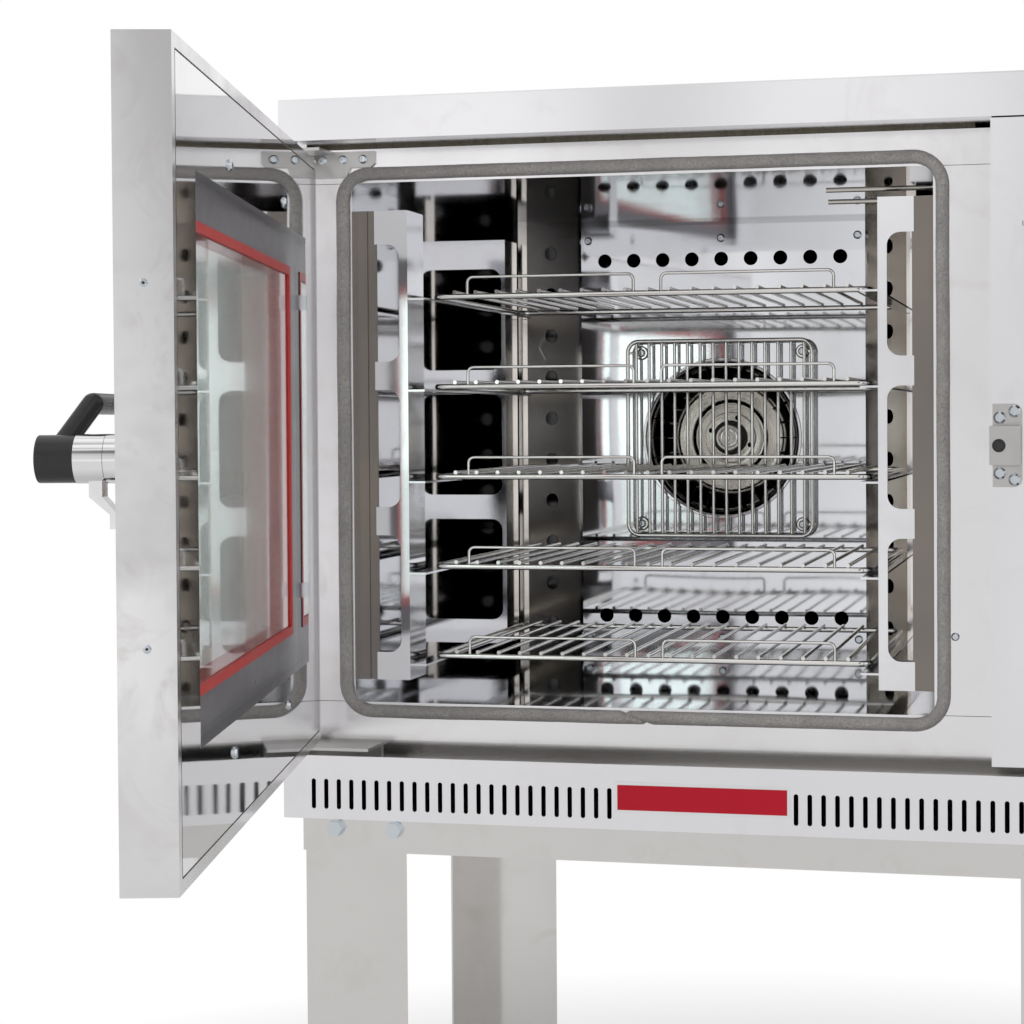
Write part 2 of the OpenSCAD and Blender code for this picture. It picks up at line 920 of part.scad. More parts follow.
// Wire grille: a rounded ring, upright rods that stand off the baffle, and an eye in each corner
module fan_grille() {
    ring_y = baffle_y - grille_off;
    rod_y = ring_y + (grille_wire + grille_rod) / 2 - rod_sink;
    ring_w = grille_w - grille_wire;
    ring_h = grille_h - grille_wire;
    color("silver") translate([cav_cx, 0, cav_cz]) {
        translate([0, ring_y, 0]) rotate([90, 0, 0])
            ring(ring_w, ring_h, grille_corner) circle(d = grille_wire, $fn = wire_fn);
        for (i = [0 : grille_rods - 1])
            translate([(i - (grille_rods - 1) / 2) * grille_pitch, rod_y, 0]) {
                bar_z([0, 0, -ring_h / 2], grille_rod, ring_h);
                for (end = [-1, 1])
                    bar_y([0, 0, end * (grille_h / 2 - rod_end_in)], grille_rod - rod_sink, baffle_y - rod_y);
            }
        for (side = [-1, 1], end = [-1, 1])
            translate([side * ring_w / 2, baffle_y, end * (grille_h / 2 - eye_in)])
                mirror([side > 0 ? 1 : 0, 0, 0]) grille_eye(eye_in - grille_wire / 2);
    }
}

// An eye at reach from the ring's side wire, flat on the baffle, with a peg up to that wire
module grille_eye(reach) {
    difference() {
        union() {
            bar_y([reach, -eye_t, 0], eye_d, eye_t);
            block([-eye_t / 2, -eye_t, -eye_t / 2], [reach, 0, eye_t / 2]);
        }
        bar_y([reach, -eye_t - cut, 0], eye_hole_d, eye_t + 2 * cut);
    }
    bar_y([0, -grille_off, 0], eye_t - rod_sink, grille_off - eye_t / 2);
}

// Fan
module fan_wheel() {
    back_y = wheel_y + wheel_w - wheel_sheet;
    disc_d = blade_in_d + 2 * wheel_disc_over;
    blade_l = (wheel_d - blade_in_d) / 2;
    motor_y = cav_y1 + liner_t + wool_t + motor_plate_t;
    color("gray") {
        difference() {
            union() {
                bar_y([cav_cx, back_y, cav_cz], disc_d, wheel_sheet);
                bar_y([cav_cx, back_y - emboss_h, cav_cz], emboss_d, emboss_h);
            }
            for (i = [0 : 3])
                translate([cav_cx, back_y - emboss_h - cut, cav_cz]) rotate([0, 90 * i + wheel_hole_turn, 0])
                    bar_y([wheel_hole_r, 0, 0], wheel_hole_d, emboss_h + wheel_sheet + 2 * cut);
        }
        bar_y([cav_cx, back_y - emboss_h - hub_h, cav_cz], hub_d, hub_h);
        bar_y([cav_cx, back_y - emboss_h - hub_h - hub_bolt_h, cav_cz], hub_bolt_d, hub_bolt_h);
        difference() {
            bar_y([cav_cx, wheel_y, cav_cz], wheel_d, wheel_sheet);
            bar_y([cav_cx, wheel_y - cut, cav_cz], wheel_eye_d, wheel_sheet + 2 * cut);
        }
        for (i = [0 : blade_count - 1])
            translate([cav_cx, wheel_y, cav_cz]) rotate([0, i * 360 / blade_count, 0])
                translate([blade_in_d / 2, 0, -blade_t / 2])
                    cube([blade_l - wheel_sheet, wheel_w - wheel_sheet / 2, blade_t]);
        bar_y([cav_cx, back_y, cav_cz], shaft_d, motor_y + motor_grip - slide_gap - back_y);
    }
}

module fan_motor() {
    plate_y = cav_y1 + liner_t + wool_t;
    motor_y = plate_y + motor_plate_t;
    color("dimgray") difference() {
        union() {
            block(
                [cav_cx - motor_plate_w / 2, plate_y, cav_cz - motor_plate_w / 2],
                [cav_cx + motor_plate_w / 2, motor_y, cav_cz + motor_plate_w / 2]
            );
            bar_y([cav_cx, motor_y, cav_cz], motor_d, motor_l);
        }
        bar_y([cav_cx, plate_y - cut, cav_cz], shaft_d + 2 * run_gap, motor_plate_t + motor_grip + cut);
    }
}

module motor_cover() {
    half = cover_w / 2;
    color("silver") difference() {
        block([cav_cx - half, rear_y, cav_cz - half], [cav_cx + half, rear_y + cover_d, cav_cz + half]);
        block(
            [cav_cx - half + cover_t, rear_y - cut, cav_cz - half + cover_t],
            [cav_cx + half - cover_t, rear_y + cover_d - cover_t, cav_cz + half - cover_t]
        );
        for (i = [0 : cover_slots - 1])
            translate([
                cav_cx + (i - (cover_slots - 1) / 2) * cover_slot_pitch,
                rear_y + cover_d + cut,
                cav_cz
            ])
                rotate([90, 0, 0]) linear_extrude(cover_t + 2 * cut) slot_shape(slot_w, cover_slot_h);
    }
}

module heating_element() {
    color("dimgray") {
        element_ring(element_r + element_step, element_front, -element_leg);
        element_ring(element_r, element_back, element_leg);
    }
}

// A ring of radius r behind the baffle, with its leg at x = leg_x
module element_ring(r, set, leg_x) {
    translate([cav_cx, baffle_y + set, cav_cz]) {
        rotate([90, 0, 0])
            rotate_extrude($fn = round_fn) translate([r, 0]) circle(d = element_d, $fn = wire_fn);
        bar_y([leg_x, 0, -sqrt(r * r - leg_x * leg_x)], element_d - slide_gap, plenum_d - set);
    }
}

module thermostat_bulbs() {
    color("silver") for (i = [0 : len(bulb_drops) - 1]) {
        y = front_y + bulb_backs[i];
        z = cav_z1 - bulb_drops[i];
        bar_x([cav_x1 - bulb_nut_l - bulb_l, y, z], bulb_d, bulb_l + bulb_nut_l);
        bar_x([cav_x1 - bulb_nut_l, y, z], bulb_nut_d, bulb_nut_l);
    }
}

// Racks

// A notch, open to its left, with two rounded inner corners
module notch_shape(w) {
    translate([-cut, -notch_h / 2]) square([w - notch_bend + cut, notch_h]);
    translate([-cut, -notch_h / 2 + notch_bend]) square([w + cut, notch_h - 2 * notch_bend]);
    for (end = [-1, 1])
        translate([w - notch_bend, end * (notch_h / 2 - notch_bend)]) circle(r = notch_bend, $fn = round_fn);
}

// The face of an upright, from x0 to the rack's inner plane, facing -Y at y
module upright_face(x0, y, left) {
    translate([0, y + rack_t, 0]) rotate([90, 0, 0]) linear_extrude(rack_t) difference() {
        translate([x0, 0]) square([rack_gap - x0, rack_h]);
        for (i = [-1 : 1])
            translate([x0, rack_h / 2 + notch_shift + i * notch_pitch]) notch_shape(rack_gap - x0 - left);
    }
}

// One rack, with x = 0 on the cavity's wall, y = 0 on the frame's face and z = 0 at its foot
module rack() {
    upright_face(rack_gap - rack_flange, rack_front, notch_left);
    block([rack_gap - rack_t, rack_front, 0], [rack_gap, rack_front + rack_strip, rack_h]);
    for (foot = [0, rack_h - rack_ear])
        block(
            [0, rack_front + rack_strip - rack_t, foot],
            [rack_gap, rack_front + rack_strip, foot + rack_ear]
        );
    upright_face(0, rack_rear, rear_notch_left);
    block([rack_gap - rack_t, rack_rear, 0], [rack_gap, rack_rear + rack_rear_strip, rack_h]);
    for (i = [0 : shelf_count - 1]) {
        top = shelf_z(i) - cav_z0 - rack_lift - frame_wire / 2 - slide_gap;
        block(
            [rack_gap - rack_t, rack_front, top - ledge_t],
            [rack_gap + ledge_w, rack_rear + rack_rear_strip, top]
        );
    }
}

// One post, in the rack's frame
module post() {
    back = rack_front + rack_t;
    reach = rack_gap - rack_flange + post_lap;
    linear_extrude(rack_h) polygon([
        [0, back - post_t],
        [post_step, back - post_t],
        [post_step, back],
        [reach, back],
        [reach, back + post_t],
        [0, back + post_t]
    ]);
}

module rack_posts() {
    color("dimgray") {
        translate([cav_x0, front_y, cav_z0 + rack_lift]) post();
        translate([cav_x1, front_y, cav_z0 + rack_lift]) mirror([1, 0, 0]) post();
    }
}

module left_rack() {
    color("silver") translate([cav_x0, front_y, cav_z0 + rack_lift]) rack();
}

module right_rack() {
    color("silver") translate([cav_x1, front_y, cav_z0 + rack_lift]) mirror([1, 0, 0]) rack();
}

// A wire shelf on level i
module shelf(i) {
    middle_y = front_y + shelf_front + shelf_d / 2;
    rods_z = frame_wire / 2 + rod_wire / 2 - rod_sink;
    wire_w = shelf_w - frame_wire;
    rod_l = shelf_d - frame_wire + 2 * rod_over;
    front = -(shelf_d - frame_wire) / 2;
    color("gainsboro") translate([cav_cx, middle_y, shelf_z(i)]) {
        ring(wire_w, shelf_d - frame_wire, shelf_bend) circle(d = frame_wire, $fn = wire_fn);
        for (k = [0 : rod_count - 1])
            bar_y([(k + 1) * wire_w / (rod_count + 1) - wire_w / 2, -rod_l / 2, rods_z], rod_wire, rod_l);
        for (side = [-1, 1])
            translate([side * stop_side, front, 0]) stop_loop();
    }
}

// An upright wire loop that stops trays at the front edge
module stop_loop() {
    half = (stop_w - stop_wire) / 2;
    for (side = [-1, 1]) {
        bar_z([side * half, 0, 0], stop_wire, stop_h - stop_bend);
        translate([side * (half - stop_bend), 0, stop_h - stop_bend])
            rotate([90, 0, 0]) mirror([side < 0 ? 1 : 0, 0, 0])
                rotate_extrude(angle = 90, $fn = round_fn)
                    translate([stop_bend, 0]) circle(d = stop_wire, $fn = wire_fn);
    }
    bar_x([-half + stop_bend, 0, stop_h], stop_wire, 2 * (half - stop_bend));
}

module shelf_1() shelf(0);

module shelf_2() shelf(1);

module shelf_3() shelf(2);

module shelf_4() shelf(3);

module shelf_5() shelf(4);

// Stand
module corner_of(side, end) {
    mirror([side > 0 ? 1 : 0, 0, 0]) mirror([0, end > 0 ? 1 : 0, 0]) children();
}

// The bolts' holes through the rails and the leg of the front left corner
module bolt_holes() {
    x0 = -stand_w / 2;
    y0 = -stand_d / 2 + stand_sheet;
    z = stand_h - bolt_drop;
    hole_d = bolt_d + 2 * bolt_hole_gap;
    for (in = bolt_ins) {
        bar_y([x0 + in, y0 - stand_sheet - cut, z], hole_d, 2 * stand_sheet + 2 * cut);
        bar_x([x0 - stand_sheet - cut, y0 + in, z], hole_d, 2 * stand_sheet + 2 * cut);
    }
}

// One leg at the front left corner, an angle that stands on its foot
module leg() {
    top = stand_h - stand_sheet;
    x0 = -stand_w / 2;
    y0 = -stand_d / 2 + stand_sheet;
    difference() {
        union() {
            block([x0, y0, foot_h], [x0 + leg_w, y0 + stand_sheet, top]);
            block([x0, y0, foot_h], [x0 + stand_sheet, y0 + leg_w, top]);
        }
        bolt_holes();
    }
}

module front_left_leg() {
    color("gainsboro") corner_of(-1, -1) leg();
}

module front_right_leg() {
    color("gainsboro") corner_of(1, -1) leg();
}

module rear_left_leg() {
    color("gainsboro") corner_of(-1, 1) leg();
}

module rear_right_leg() {
    color("gainsboro") corner_of(1, 1) leg();
}

module stand_rails() {
    x0 = -stand_w / 2 - stand_sheet;
    y0 = -stand_d / 2;
    low = stand_h - rail_h;
    flange = rail_flange;
    color("gainsboro") difference() {
        union() {
            for (end = [-1, 1]) corner_of(-1, end) {
                block([x0, y0, low], [-x0, y0 + stand_sheet, stand_h]);
                block([x0, y0, stand_h - stand_sheet], [-x0, y0 + flange, stand_h]);
            }
            for (side = [-1, 1]) corner_of(side, -1) {
                block([x0, y0, low], [x0 + stand_sheet, -y0, stand_h]);
                block([x0, y0, stand_h - stand_sheet], [x0 + flange, -y0, stand_h]);
            }
        }
        for (side = [-1, 1], end = [-1, 1]) corner_of(side, end) bolt_holes();
    }
}

// A hexagon bolt with its washer on the XY plane, its shank going down
module bolt() {
    bar_z([0, 0, 0], washer_d, washer_t);
    translate([0, 0, washer_t]) cylinder(d = bolt_af / cos(30), h = bolt_head_h, $fn = 6);
    bar_z([0, 0, -bolt_len], bolt_d, bolt_len);
}

module stand_bolts() {
    color("silver") for (side = [-1, 1], end = [-1, 1], in = bolt_ins) corner_of(side, end) {
        translate([-stand_w / 2 + in, -stand_d / 2, stand_h - bolt_drop]) rotate([90, 0, 0]) bolt();
        translate([-stand_w / 2 - stand_sheet, -stand_d / 2 + stand_sheet + in, stand_h - bolt_drop])
            rotate([0, -90, 0]) bolt();
    }
}

// A levelling foot with a floor plate, under the middle of a leg
module foot() {
    x = -stand_w / 2 + leg_w / 2;
    y = -stand_d / 2 + stand_sheet + leg_w / 2;
    half = foot_plate / 2;
    difference() {
        block([x - half, y - half, 0], [x + half, y + half, foot_plate_t]);
        bar_z([x + foot_hole_in, y + foot_hole_in, -cut], foot_hole_d, foot_plate_t + 2 * cut);
    }
    bar_z([x, y, 0], foot_stem_d, foot_h);
    block(
        [-stand_w / 2 + stand_sheet, -stand_d / 2 + 2 * stand_sheet, foot_h],
        [x + half, y + half, foot_h + foot_cap_t]
    );
}

module feet() {
    color("dimgray") for (side = [-1, 1], end = [-1, 1]) corner_of(side, end) foot();
}

module cable_gland() {
    x = right_x - gland_in;
    z = base_z + gland_up;
    inner_y = rear_y - sheet - gland_nut_l;
    color("dimgray") difference() {
        union() {
            bar_y([x, rear_y, z], gland_nut_d, gland_nut_l);
            bar_y([x, rear_y + gland_nut_l, z], gland_d, gland_l - gland_nut_l);
            bar_y([x, inner_y, z], gland_neck_d - 2 * slide_gap, sheet + gland_nut_l);
        }
        bar_y([x, inner_y - cut, z], gland_bore, gland_l + sheet + gland_nut_l + 2 * cut);
    }
}

// Turns what is drawn on the closed door to where the open door stands
module opened() {
    translate([pivot_x, pivot_y, 0]) rotate(-door_open) translate([-pivot_x, -pivot_y, 0]) children();
}

// Door
module door_shell() {
    color("gainsboro") opened() difference() {
        block([door_x0, door_out, door_z0], [door_x1, door_in, door_z1]);
        block(
            [door_x0 + door_sheet, door_out + door_sheet, door_z0 + door_sheet],
            [door_x1 - door_sheet, door_in - door_sheet, door_z1 - door_sheet]
        );
        block(
            [door_x0 + door_lip, door_in - door_sheet - cut, door_z0 + door_lip],
            [door_x1 - door_lip, door_in + cut, door_z1 - door_lip]
        );
        block([win_x0, door_out - cut, win_z0], [win_x1, door_out + door_sheet + cut, win_z1]);
    }
}

module door_inner_panel() {
    edge = door_lip + door_seam;
    color("lightgray") opened() difference() {
        union() {
            block(
                [door_x0 + edge, door_in - door_sheet, door_z0 + edge],
                [door_x1 - edge, door_in, door_z1 - edge]
            );
            block(
                [win_x0 - door_sheet, glass_y, win_z0 - door_sheet],
                [win_x1 + door_sheet, door_in - door_sheet, win_z1 + door_sheet]
            );
        }
        block([win_x0, glass_y - cut, win_z0], [win_x1, door_in + cut, win_z1]);
    }
}

module door_insulation() {
    lap = glass_lap + slide_gap;
    color("khaki") opened() difference() {
        block(
            [door_x0 + door_sheet, door_out + door_sheet, door_z0 + door_sheet],
            [door_x1 - door_sheet, door_in - door_sheet, door_z1 - door_sheet]
        );
        block([win_x0 - lap, door_out, win_z0 - lap], [win_x1 + lap, door_in, win_z1 + lap]);
    }
}

module outer_glass() {
    color("lightblue", 0.4) opened() block(
        [win_x0 - glass_lap, door_out + door_sheet, win_z0 - glass_lap],
        [win_x1 + glass_lap, door_out + door_sheet + glass_t, win_z1 + glass_lap]
    );
}

module inner_glass() {
    color("lightblue", 0.4) opened() block(
        [win_x0 - glass_lap, glass_y - glass_t, win_z0 - glass_lap],
        [win_x1 + glass_lap, glass_y, win_z1 + glass_lap]
    );
}

module window_frame() {
    color("gray") opened() window_ring(win_x0, win_x1, win_z0, win_z1, border_w, glass_y, border_t);
}

// Red seal: a bead inside the grey border, and the spacer that keeps the two panes apart
module window_seal() {
    spacer_y = door_out + door_sheet + glass_t;
    color("red") opened() {
        window_ring(
            win_x0 + border_w,
            win_x1 - border_w,
            win_z0 + border_w,
            win_z1 - border_w,
            seal_w,
            glass_y,
            seal_t
        );
        window_ring(
            win_x0 + border_w,
            win_x1 - border_w,
            win_z0 + border_w,
            win_z1 - border_w,
            seal_w,
            spacer_y,
            glass_y - glass_t - spacer_y
        );
    }
}

module hinge_leaves() {
    bore = pin_d + 2 * run_gap;
    boss = upper_arm_gap;
    lower_z = frame_z0;
    color("silver") opened() difference() {
        union() {
            block(
                [pivot_x - arm_side, pivot_y - leaf_half, door_z1],
                [pivot_x - arm_side + leaf_w, pivot_y + leaf_half, door_z1 + leaf_t]
            );
            bar_z([pivot_x, pivot_y, door_z1], leaf_boss_d, leaf_t + boss);
            block(
                [pivot_x - arm_side, pivot_y - leaf_half, door_z0 - leaf_t],
                [pivot_x - arm_side + leaf_w, pivot_y + leaf_half, door_z0]
            );
            bar_z([pivot_x, pivot_y, lower_z - leaf_t + slide_gap], leaf_boss_d, leaf_t);
        }
        bar_z([pivot_x, pivot_y, lower_z - leaf_t - cut], bore, door_h + 4 * leaf_t + 4 * boss);
    }
}

module door_fittings() {
    color("silver") opened() {
        for (share = panel_screw_shares, z = [door_z0 + panel_screw_rise, door_z1 - panel_screw_rise])
            translate([door_x0 + share * door_w, door_in, z]) rotate([-90, 0, 0])
                screw_head(panel_screw_d, panel_screw_h);
        for (share = rivet_shares)
            translate([door_x1, (door_in + door_out) / 2, door_z0 + share * door_h]) rotate([0, 90, 0])
                screw_head(rivet_d, rivet_h);
        for (share = clip_shares)
            block(
                [win_x0, glass_y + border_t, door_z0 + share * door_h - clip_h / 2],
                [win_x0 + clip_t, glass_y + border_t + clip_w, door_z0 + share * door_h + clip_h / 2]
            );
    }
}

module door_bumper() {
    color("black") opened()
        bar_z([door_x1 - bumper_in, (door_in + door_out) / 2, door_z0 - bumper_h], bumper_d, bumper_h);
}

// Handle, in a frame of its own: x towards the door's free edge, y up, z away from the door's outer face
module on_spindle() {
    opened() translate([spindle_x, door_out, spindle_z]) rotate([90, 0, 0]) children();
}

module handle_base() {
    color("silver") on_spindle() {
        linear_extrude(plate_t) slot_shape(plate_w, plate_h);
        bar_z([0, 0, plate_t], boss_d, boss_top - plate_t - slide_gap);
        bar_z([0, 0, plate_t], spindle_d, spindle_end - plate_t - slide_gap);
    }
}

module handle_sleeve() {
    color("silver") on_spindle() difference() {
        union() {
            bar_z([0, 0, boss_top], boss_d, sleeve_top - boss_top);
            translate([hook_w / 2, 0, 0]) rotate([0, -90, 0]) linear_extrude(hook_w) polygon([
                [hook_back, -hook_root],
                [hook_back, -hook_knee],
                [hook_low, -hook_neck],
                [hook_low, -hook_reach],
                [hook_tip, -hook_reach],
                [hook_tip, -hook_neck],
                [hook_out, -hook_knee],
                [hook_out, -hook_root]
            ]);
        }
        bar_z([0, 0, boss_top - cut], spindle_d + 2 * run_gap, sleeve_top - boss_top + 2 * cut);
    }
}

module handle_lever() {
    color("black") on_spindle() difference() {
        union() {
            bar_z([0, 0, sleeve_top], cap_d, cap_top - sleeve_top);
            hull() {
                translate([-cap_d / 5, cap_d / 5, cap_top - grip_d / 2 - cap_d / 8])
                    sphere(d = grip_d, $fn = hull_fn);
                translate([-grip_near, grip_rise, grip_off]) sphere(d = grip_d, $fn = hull_fn);
            }
            hull() {
                translate([-grip_near, grip_rise, grip_off]) sphere(d = grip_d, $fn = hull_fn);
                translate([-grip_far, grip_rise, grip_off]) sphere(d = grip_d, $fn = hull_fn);
            }
        }
        bar_z([0, 0, sleeve_top - cut], spindle_d + 2 * run_gap, spindle_end - sleeve_top + cut);
    }
}

cavity_liner();
door_frame();
cavity_gasket();
top_panel();
left_side_panel();
right_side_panel();
rear_panel();
base_pan();
top_fascia();
vent_fascia();
badge_plate();
badge_field();
control_panel();
drip_gutter();
strike_plate();
upper_hinge_bracket();
lower_hinge_bracket();
screws();
fan_baffle();
fan_grille();
heating_element();
fan_motor();
motor_cover();
insulation();
thermostat_bulbs();
rack_posts();
left_rack();
right_rack();
stand_rails();
front_left_leg();
front_right_leg();
rear_left_leg();
rear_right_leg();
feet();
stand_bolts();
cable_gland();
control_units();
pilot_lamps();
door_shell();
door_inner_panel();
door_insulation();
outer_glass();
inner_glass();
window_frame();
window_seal();
hinge_leaves();
door_fittings();
door_bumper();
handle_base();
handle_sleeve();
handle_lever();
shelf_1();
shelf_2();
shelf_3();
shelf_4();
shelf_5();
fan_wheel();
thermostat_knob();
timer_knob();
selector_knob();
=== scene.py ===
# Looks of a free-standing convection oven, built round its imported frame. Metres, +Z up, the door to -Y.
import json
import math
import bmesh
import bpy
from mathutils import Matrix, Vector


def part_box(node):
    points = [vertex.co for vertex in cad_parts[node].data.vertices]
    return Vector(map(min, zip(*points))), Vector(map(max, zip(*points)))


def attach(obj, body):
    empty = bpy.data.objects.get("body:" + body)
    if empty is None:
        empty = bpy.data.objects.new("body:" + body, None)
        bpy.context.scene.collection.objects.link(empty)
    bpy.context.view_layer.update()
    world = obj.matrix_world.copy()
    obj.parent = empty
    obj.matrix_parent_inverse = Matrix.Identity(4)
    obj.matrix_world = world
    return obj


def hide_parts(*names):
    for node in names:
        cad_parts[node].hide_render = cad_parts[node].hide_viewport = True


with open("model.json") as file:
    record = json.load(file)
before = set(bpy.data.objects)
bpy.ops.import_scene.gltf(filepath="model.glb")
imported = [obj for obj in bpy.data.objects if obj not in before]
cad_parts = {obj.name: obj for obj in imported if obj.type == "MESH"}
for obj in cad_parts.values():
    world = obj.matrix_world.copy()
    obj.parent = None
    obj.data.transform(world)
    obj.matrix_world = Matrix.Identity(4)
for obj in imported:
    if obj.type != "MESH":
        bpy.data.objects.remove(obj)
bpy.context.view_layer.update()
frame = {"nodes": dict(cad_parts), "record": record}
nodes = frame["nodes"]
collection = bpy.context.scene.collection
print("frame loaded with", len(nodes), "nodes")


# ---- node trees ----
class Sock:
    # a socket of one tree, so that plain sums on it add the nodes
    def __init__(self, tree, plug):
        self.tree = tree
        self.plug = plug

    def __add__(self, other):
        return self.tree.maths("ADD", self, other)

    def __radd__(self, other):
        return self.tree.maths("ADD", other, self)

    def __sub__(self, other):
        return self.tree.maths("SUBTRACT", self, other)

    def __rsub__(self, other):
        return self.tree.maths("SUBTRACT", other, self)

    def __mul__(self, other):
        return self.tree.maths("MULTIPLY", self, other)

    def __rmul__(self, other):
        return self.tree.maths("MULTIPLY", other, self)

    def __truediv__(self, other):
        return self.tree.maths("DIVIDE", self, other)

    def __rtruediv__(self, other):
        return self.tree.maths("DIVIDE", other, self)

    def __neg__(self):
        return self * -1.0

    def clamped(self):
        return self.tree.maths("MINIMUM", self.tree.maths("MAXIMUM", self, 0.0), 1.0)

    def absolute(self):
        return self.tree.maths("ABSOLUTE", self)

    def less(self, limit):
        return self.tree.maths("LESS_THAN", self, limit)


class Tree:
    # a node tree with one way to add any node: settings first, then socket values or links
    def __init__(self, nodeTree):
        self.nodeTree = nodeTree

    def add(self, kind, settings=None, values=None, out=0):
        node = self.nodeTree.nodes.new(kind)
        for key, value in (settings or {}).items():
            if key == "stops":
                ramp = node.color_ramp.elements
                while len(ramp) < len(value):
                    ramp.new(0.5)
                for stop, (place, shade) in zip(ramp, value):
                    stop.position = place
                    stop.color = (*shade[:3], 1)
            else:
                setattr(node, key, value)
        for key, value in (values or {}).items():
            self.put(node.inputs[key], value)
        return Sock(self, node.outputs[out])

    def maths(self, operation, *values):
        return self.add("ShaderNodeMath", {"operation": operation}, dict(enumerate(values)))

    def put(self, socket, value):
        if isinstance(value, Sock):
            self.nodeTree.links.new(value.plug, socket)
        else:
            socket.default_value = value

    def noise(self, coords, scale, detail=2.0, rough=0.5, distortion=0.0):
        values = {"Vector": coords, "Scale": scale, "Detail": detail, "Roughness": rough, "Distortion": distortion}
        return self.add("ShaderNodeTexNoise", {}, values)

    def stretched(self, coords, scale):
        return self.add("ShaderNodeMapping", {}, {"Vector": coords, "Scale": scale})

    def ramp(self, value, *stops):
        grey = [(place, (shade, shade, shade)) for place, shade in stops]
        return self.add("ShaderNodeValToRGB", {"stops": grey}, {"Fac": value})

    def mixed(self, share, first, second):
        node = self.nodeTree.nodes.new("ShaderNodeMix")
        node.data_type = "RGBA"
        self.put(node.inputs[0], share)
        for place, shade in ((6, first), (7, second)):
            self.put(node.inputs[place], shade if isinstance(shade, Sock) else (*shade[:3], 1))
        return Sock(self, node.outputs[2])

    def bump(self, height, strength, distance, normal=None):
        values = {"Height": height, "Strength": strength, "Distance": distance}
        if normal:
            values["Normal"] = normal
        return self.add("ShaderNodeBump", {}, values)

    def parts(self, coords):
        # the x, y and z of a vector
        node = self.nodeTree.nodes.new("ShaderNodeSeparateXYZ")
        self.put(node.inputs[0], coords)
        return [Sock(self, plug) for plug in node.outputs]

    def ray(self, kind):
        return self.add("ShaderNodeLightPath", out="Is " + kind + " Ray")

    def end(self, kind, result):
        # links a shader to the tree's output node
        self.put(self.nodeTree.nodes.new(kind).inputs["Surface"], result)


def newMaterial(name):
    material = bpy.data.materials.new(name)
    material.use_nodes = True
    material.node_tree.nodes.clear()
    tree = Tree(material.node_tree)
    return material, tree, tree.add("ShaderNodeTexCoord", out=3)


def finished(material, tree, values):
    # puts the Principled shader on the material's output
    tree.end("ShaderNodeOutputMaterial", tree.add("ShaderNodeBsdfPrincipled", {}, values))
    return material


def darker(shade, share):
    return tuple(share * part for part in shade)


# ---- stainless steel ----
brown = (0.40, 0.33, 0.25)
grainScale = {"x": (4, 700, 700), "y": (700, 4, 700), "z": (700, 700, 4)}
steelBase = {"shade": (0.8, 0.8, 0.81), "rough": 0.16, "grain": "x", "grainDepth": 0.02, "wave": 0.0005,
             "waveScale": 2.5, "smudge": 0.1, "stain": 0.12, "tint": brown, "tintShare": 0.0, "darkFrom": None,
             "wingFrom": None, "wingCentre": -0.075}
steelMix = {"smudgeShade": 1.8, "smudgeRough": 0.5, "stainRough": 0.3, "stainTone": (0.72, 0.62, 0.52),
            # the near-black tone, share and edge of the painted shade that the cavity steel takes past a depth
            "paintedShadeTone": (0.02, 0.018, 0.016), "paintedShadeShare": 0.93, "paintedShadeEdge": 60.0,
            "wingShade": (0.8, 0.75, 0.69), "wingRough": 0.11, "wingEdge": 250.0, "grainHeight": 0.00004}
steelPlans = {
    # cavity_steel: past its listed depth the sheet is painted near black, painted shade at the back of the cavity
    "cavity_steel": {"shade": (0.6, 0.61, 0.64), "rough": 0.04, "grain": "y", "grainDepth": 0.05, "wave": 0.0013,
                     "waveScale": 4.0, "smudge": 0.05, "tintShare": 0.2, "darkFrom": 0.184},
    "baffle_steel": {"shade": (0.75, 0.76, 0.79), "rough": 0.04, "grain": "z", "grainDepth": 0.04, "wave": 0.0013,
                     "waveScale": 4.0, "smudge": 0.04, "tintShare": 0.06, "wingFrom": 0.175},
    "frame_steel": {"shade": (0.83, 0.82, 0.83), "rough": 0.15, "smudge": 0.12, "stain": 0.18},
    "casing_steel": {"grain": "y", "rough": 0.16, "stain": 0.06},
    "fascia_steel": {"shade": (0.82, 0.81, 0.83), "rough": 0.13, "wave": 0.001, "waveScale": 2.2, "smudge": 0.06},
    "back_steel": {"shade": (0.64, 0.65, 0.66), "rough": 0.36, "grain": "z", "grainDepth": 0.05, "stain": 0.05},
    "gutter_steel": {"shade": (0.62, 0.61, 0.6), "rough": 0.12, "wave": 0.0012, "waveScale": 6.0},
    "bracket_steel": {"shade": (0.58, 0.57, 0.56), "rough": 0.3, "grainDepth": 0.05, "stain": 0.25},
    "rack_steel": {"shade": (0.78, 0.78, 0.8), "rough": 0.08, "grain": "z", "wave": 0.0004, "waveScale": 6.0},
    "post_steel": {"shade": (0.23, 0.21, 0.2), "rough": 0.3, "grain": "z", "tintShare": 0.3},
    "stand_steel": {"shade": (0.69, 0.675, 0.66), "rough": 0.11, "grain": "z", "wave": 0.0014, "waveScale": 2.4,
                    "stain": 0.2},
    "door_steel": {"shade": (0.82, 0.81, 0.82), "rough": 0.11, "grain": "z", "grainDepth": 0.02, "wave": 0.0014,
                   "smudge": 0.3, "stain": 0.3},
    "door_liner_steel": {"shade": (0.72, 0.72, 0.73), "rough": 0.03, "grain": "z", "grainDepth": 0.05,
                         "wave": 0.0007, "waveScale": 4.0, "smudge": 0.05},
    "wire_steel": {"shade": (0.8, 0.79, 0.77), "rough": 0.09, "wave": 0.0, "smudge": 0.08, "tintShare": 0.15},
    "bulb_steel": {"shade": (0.6, 0.58, 0.54), "rough": 0.15, "wave": 0.0, "tintShare": 0.3},
    "element_steel": {"shade": (0.1, 0.095, 0.09), "rough": 0.5, "wave": 0.0},
    "screw_zinc": {"shade": (0.62, 0.66, 0.7), "rough": 0.15, "wave": 0.0},
    "handle_chrome": {"shade": (0.82, 0.82, 0.83), "rough": 0.09, "grain": "z", "wave": 0.0, "smudge": 0.08},
    "foot_metal": {"shade": (0.5, 0.5, 0.51), "rough": 0.4},
    "badge_silver": {"shade": (0.8, 0.8, 0.81), "rough": 0.15, "wave": 0.0},
}


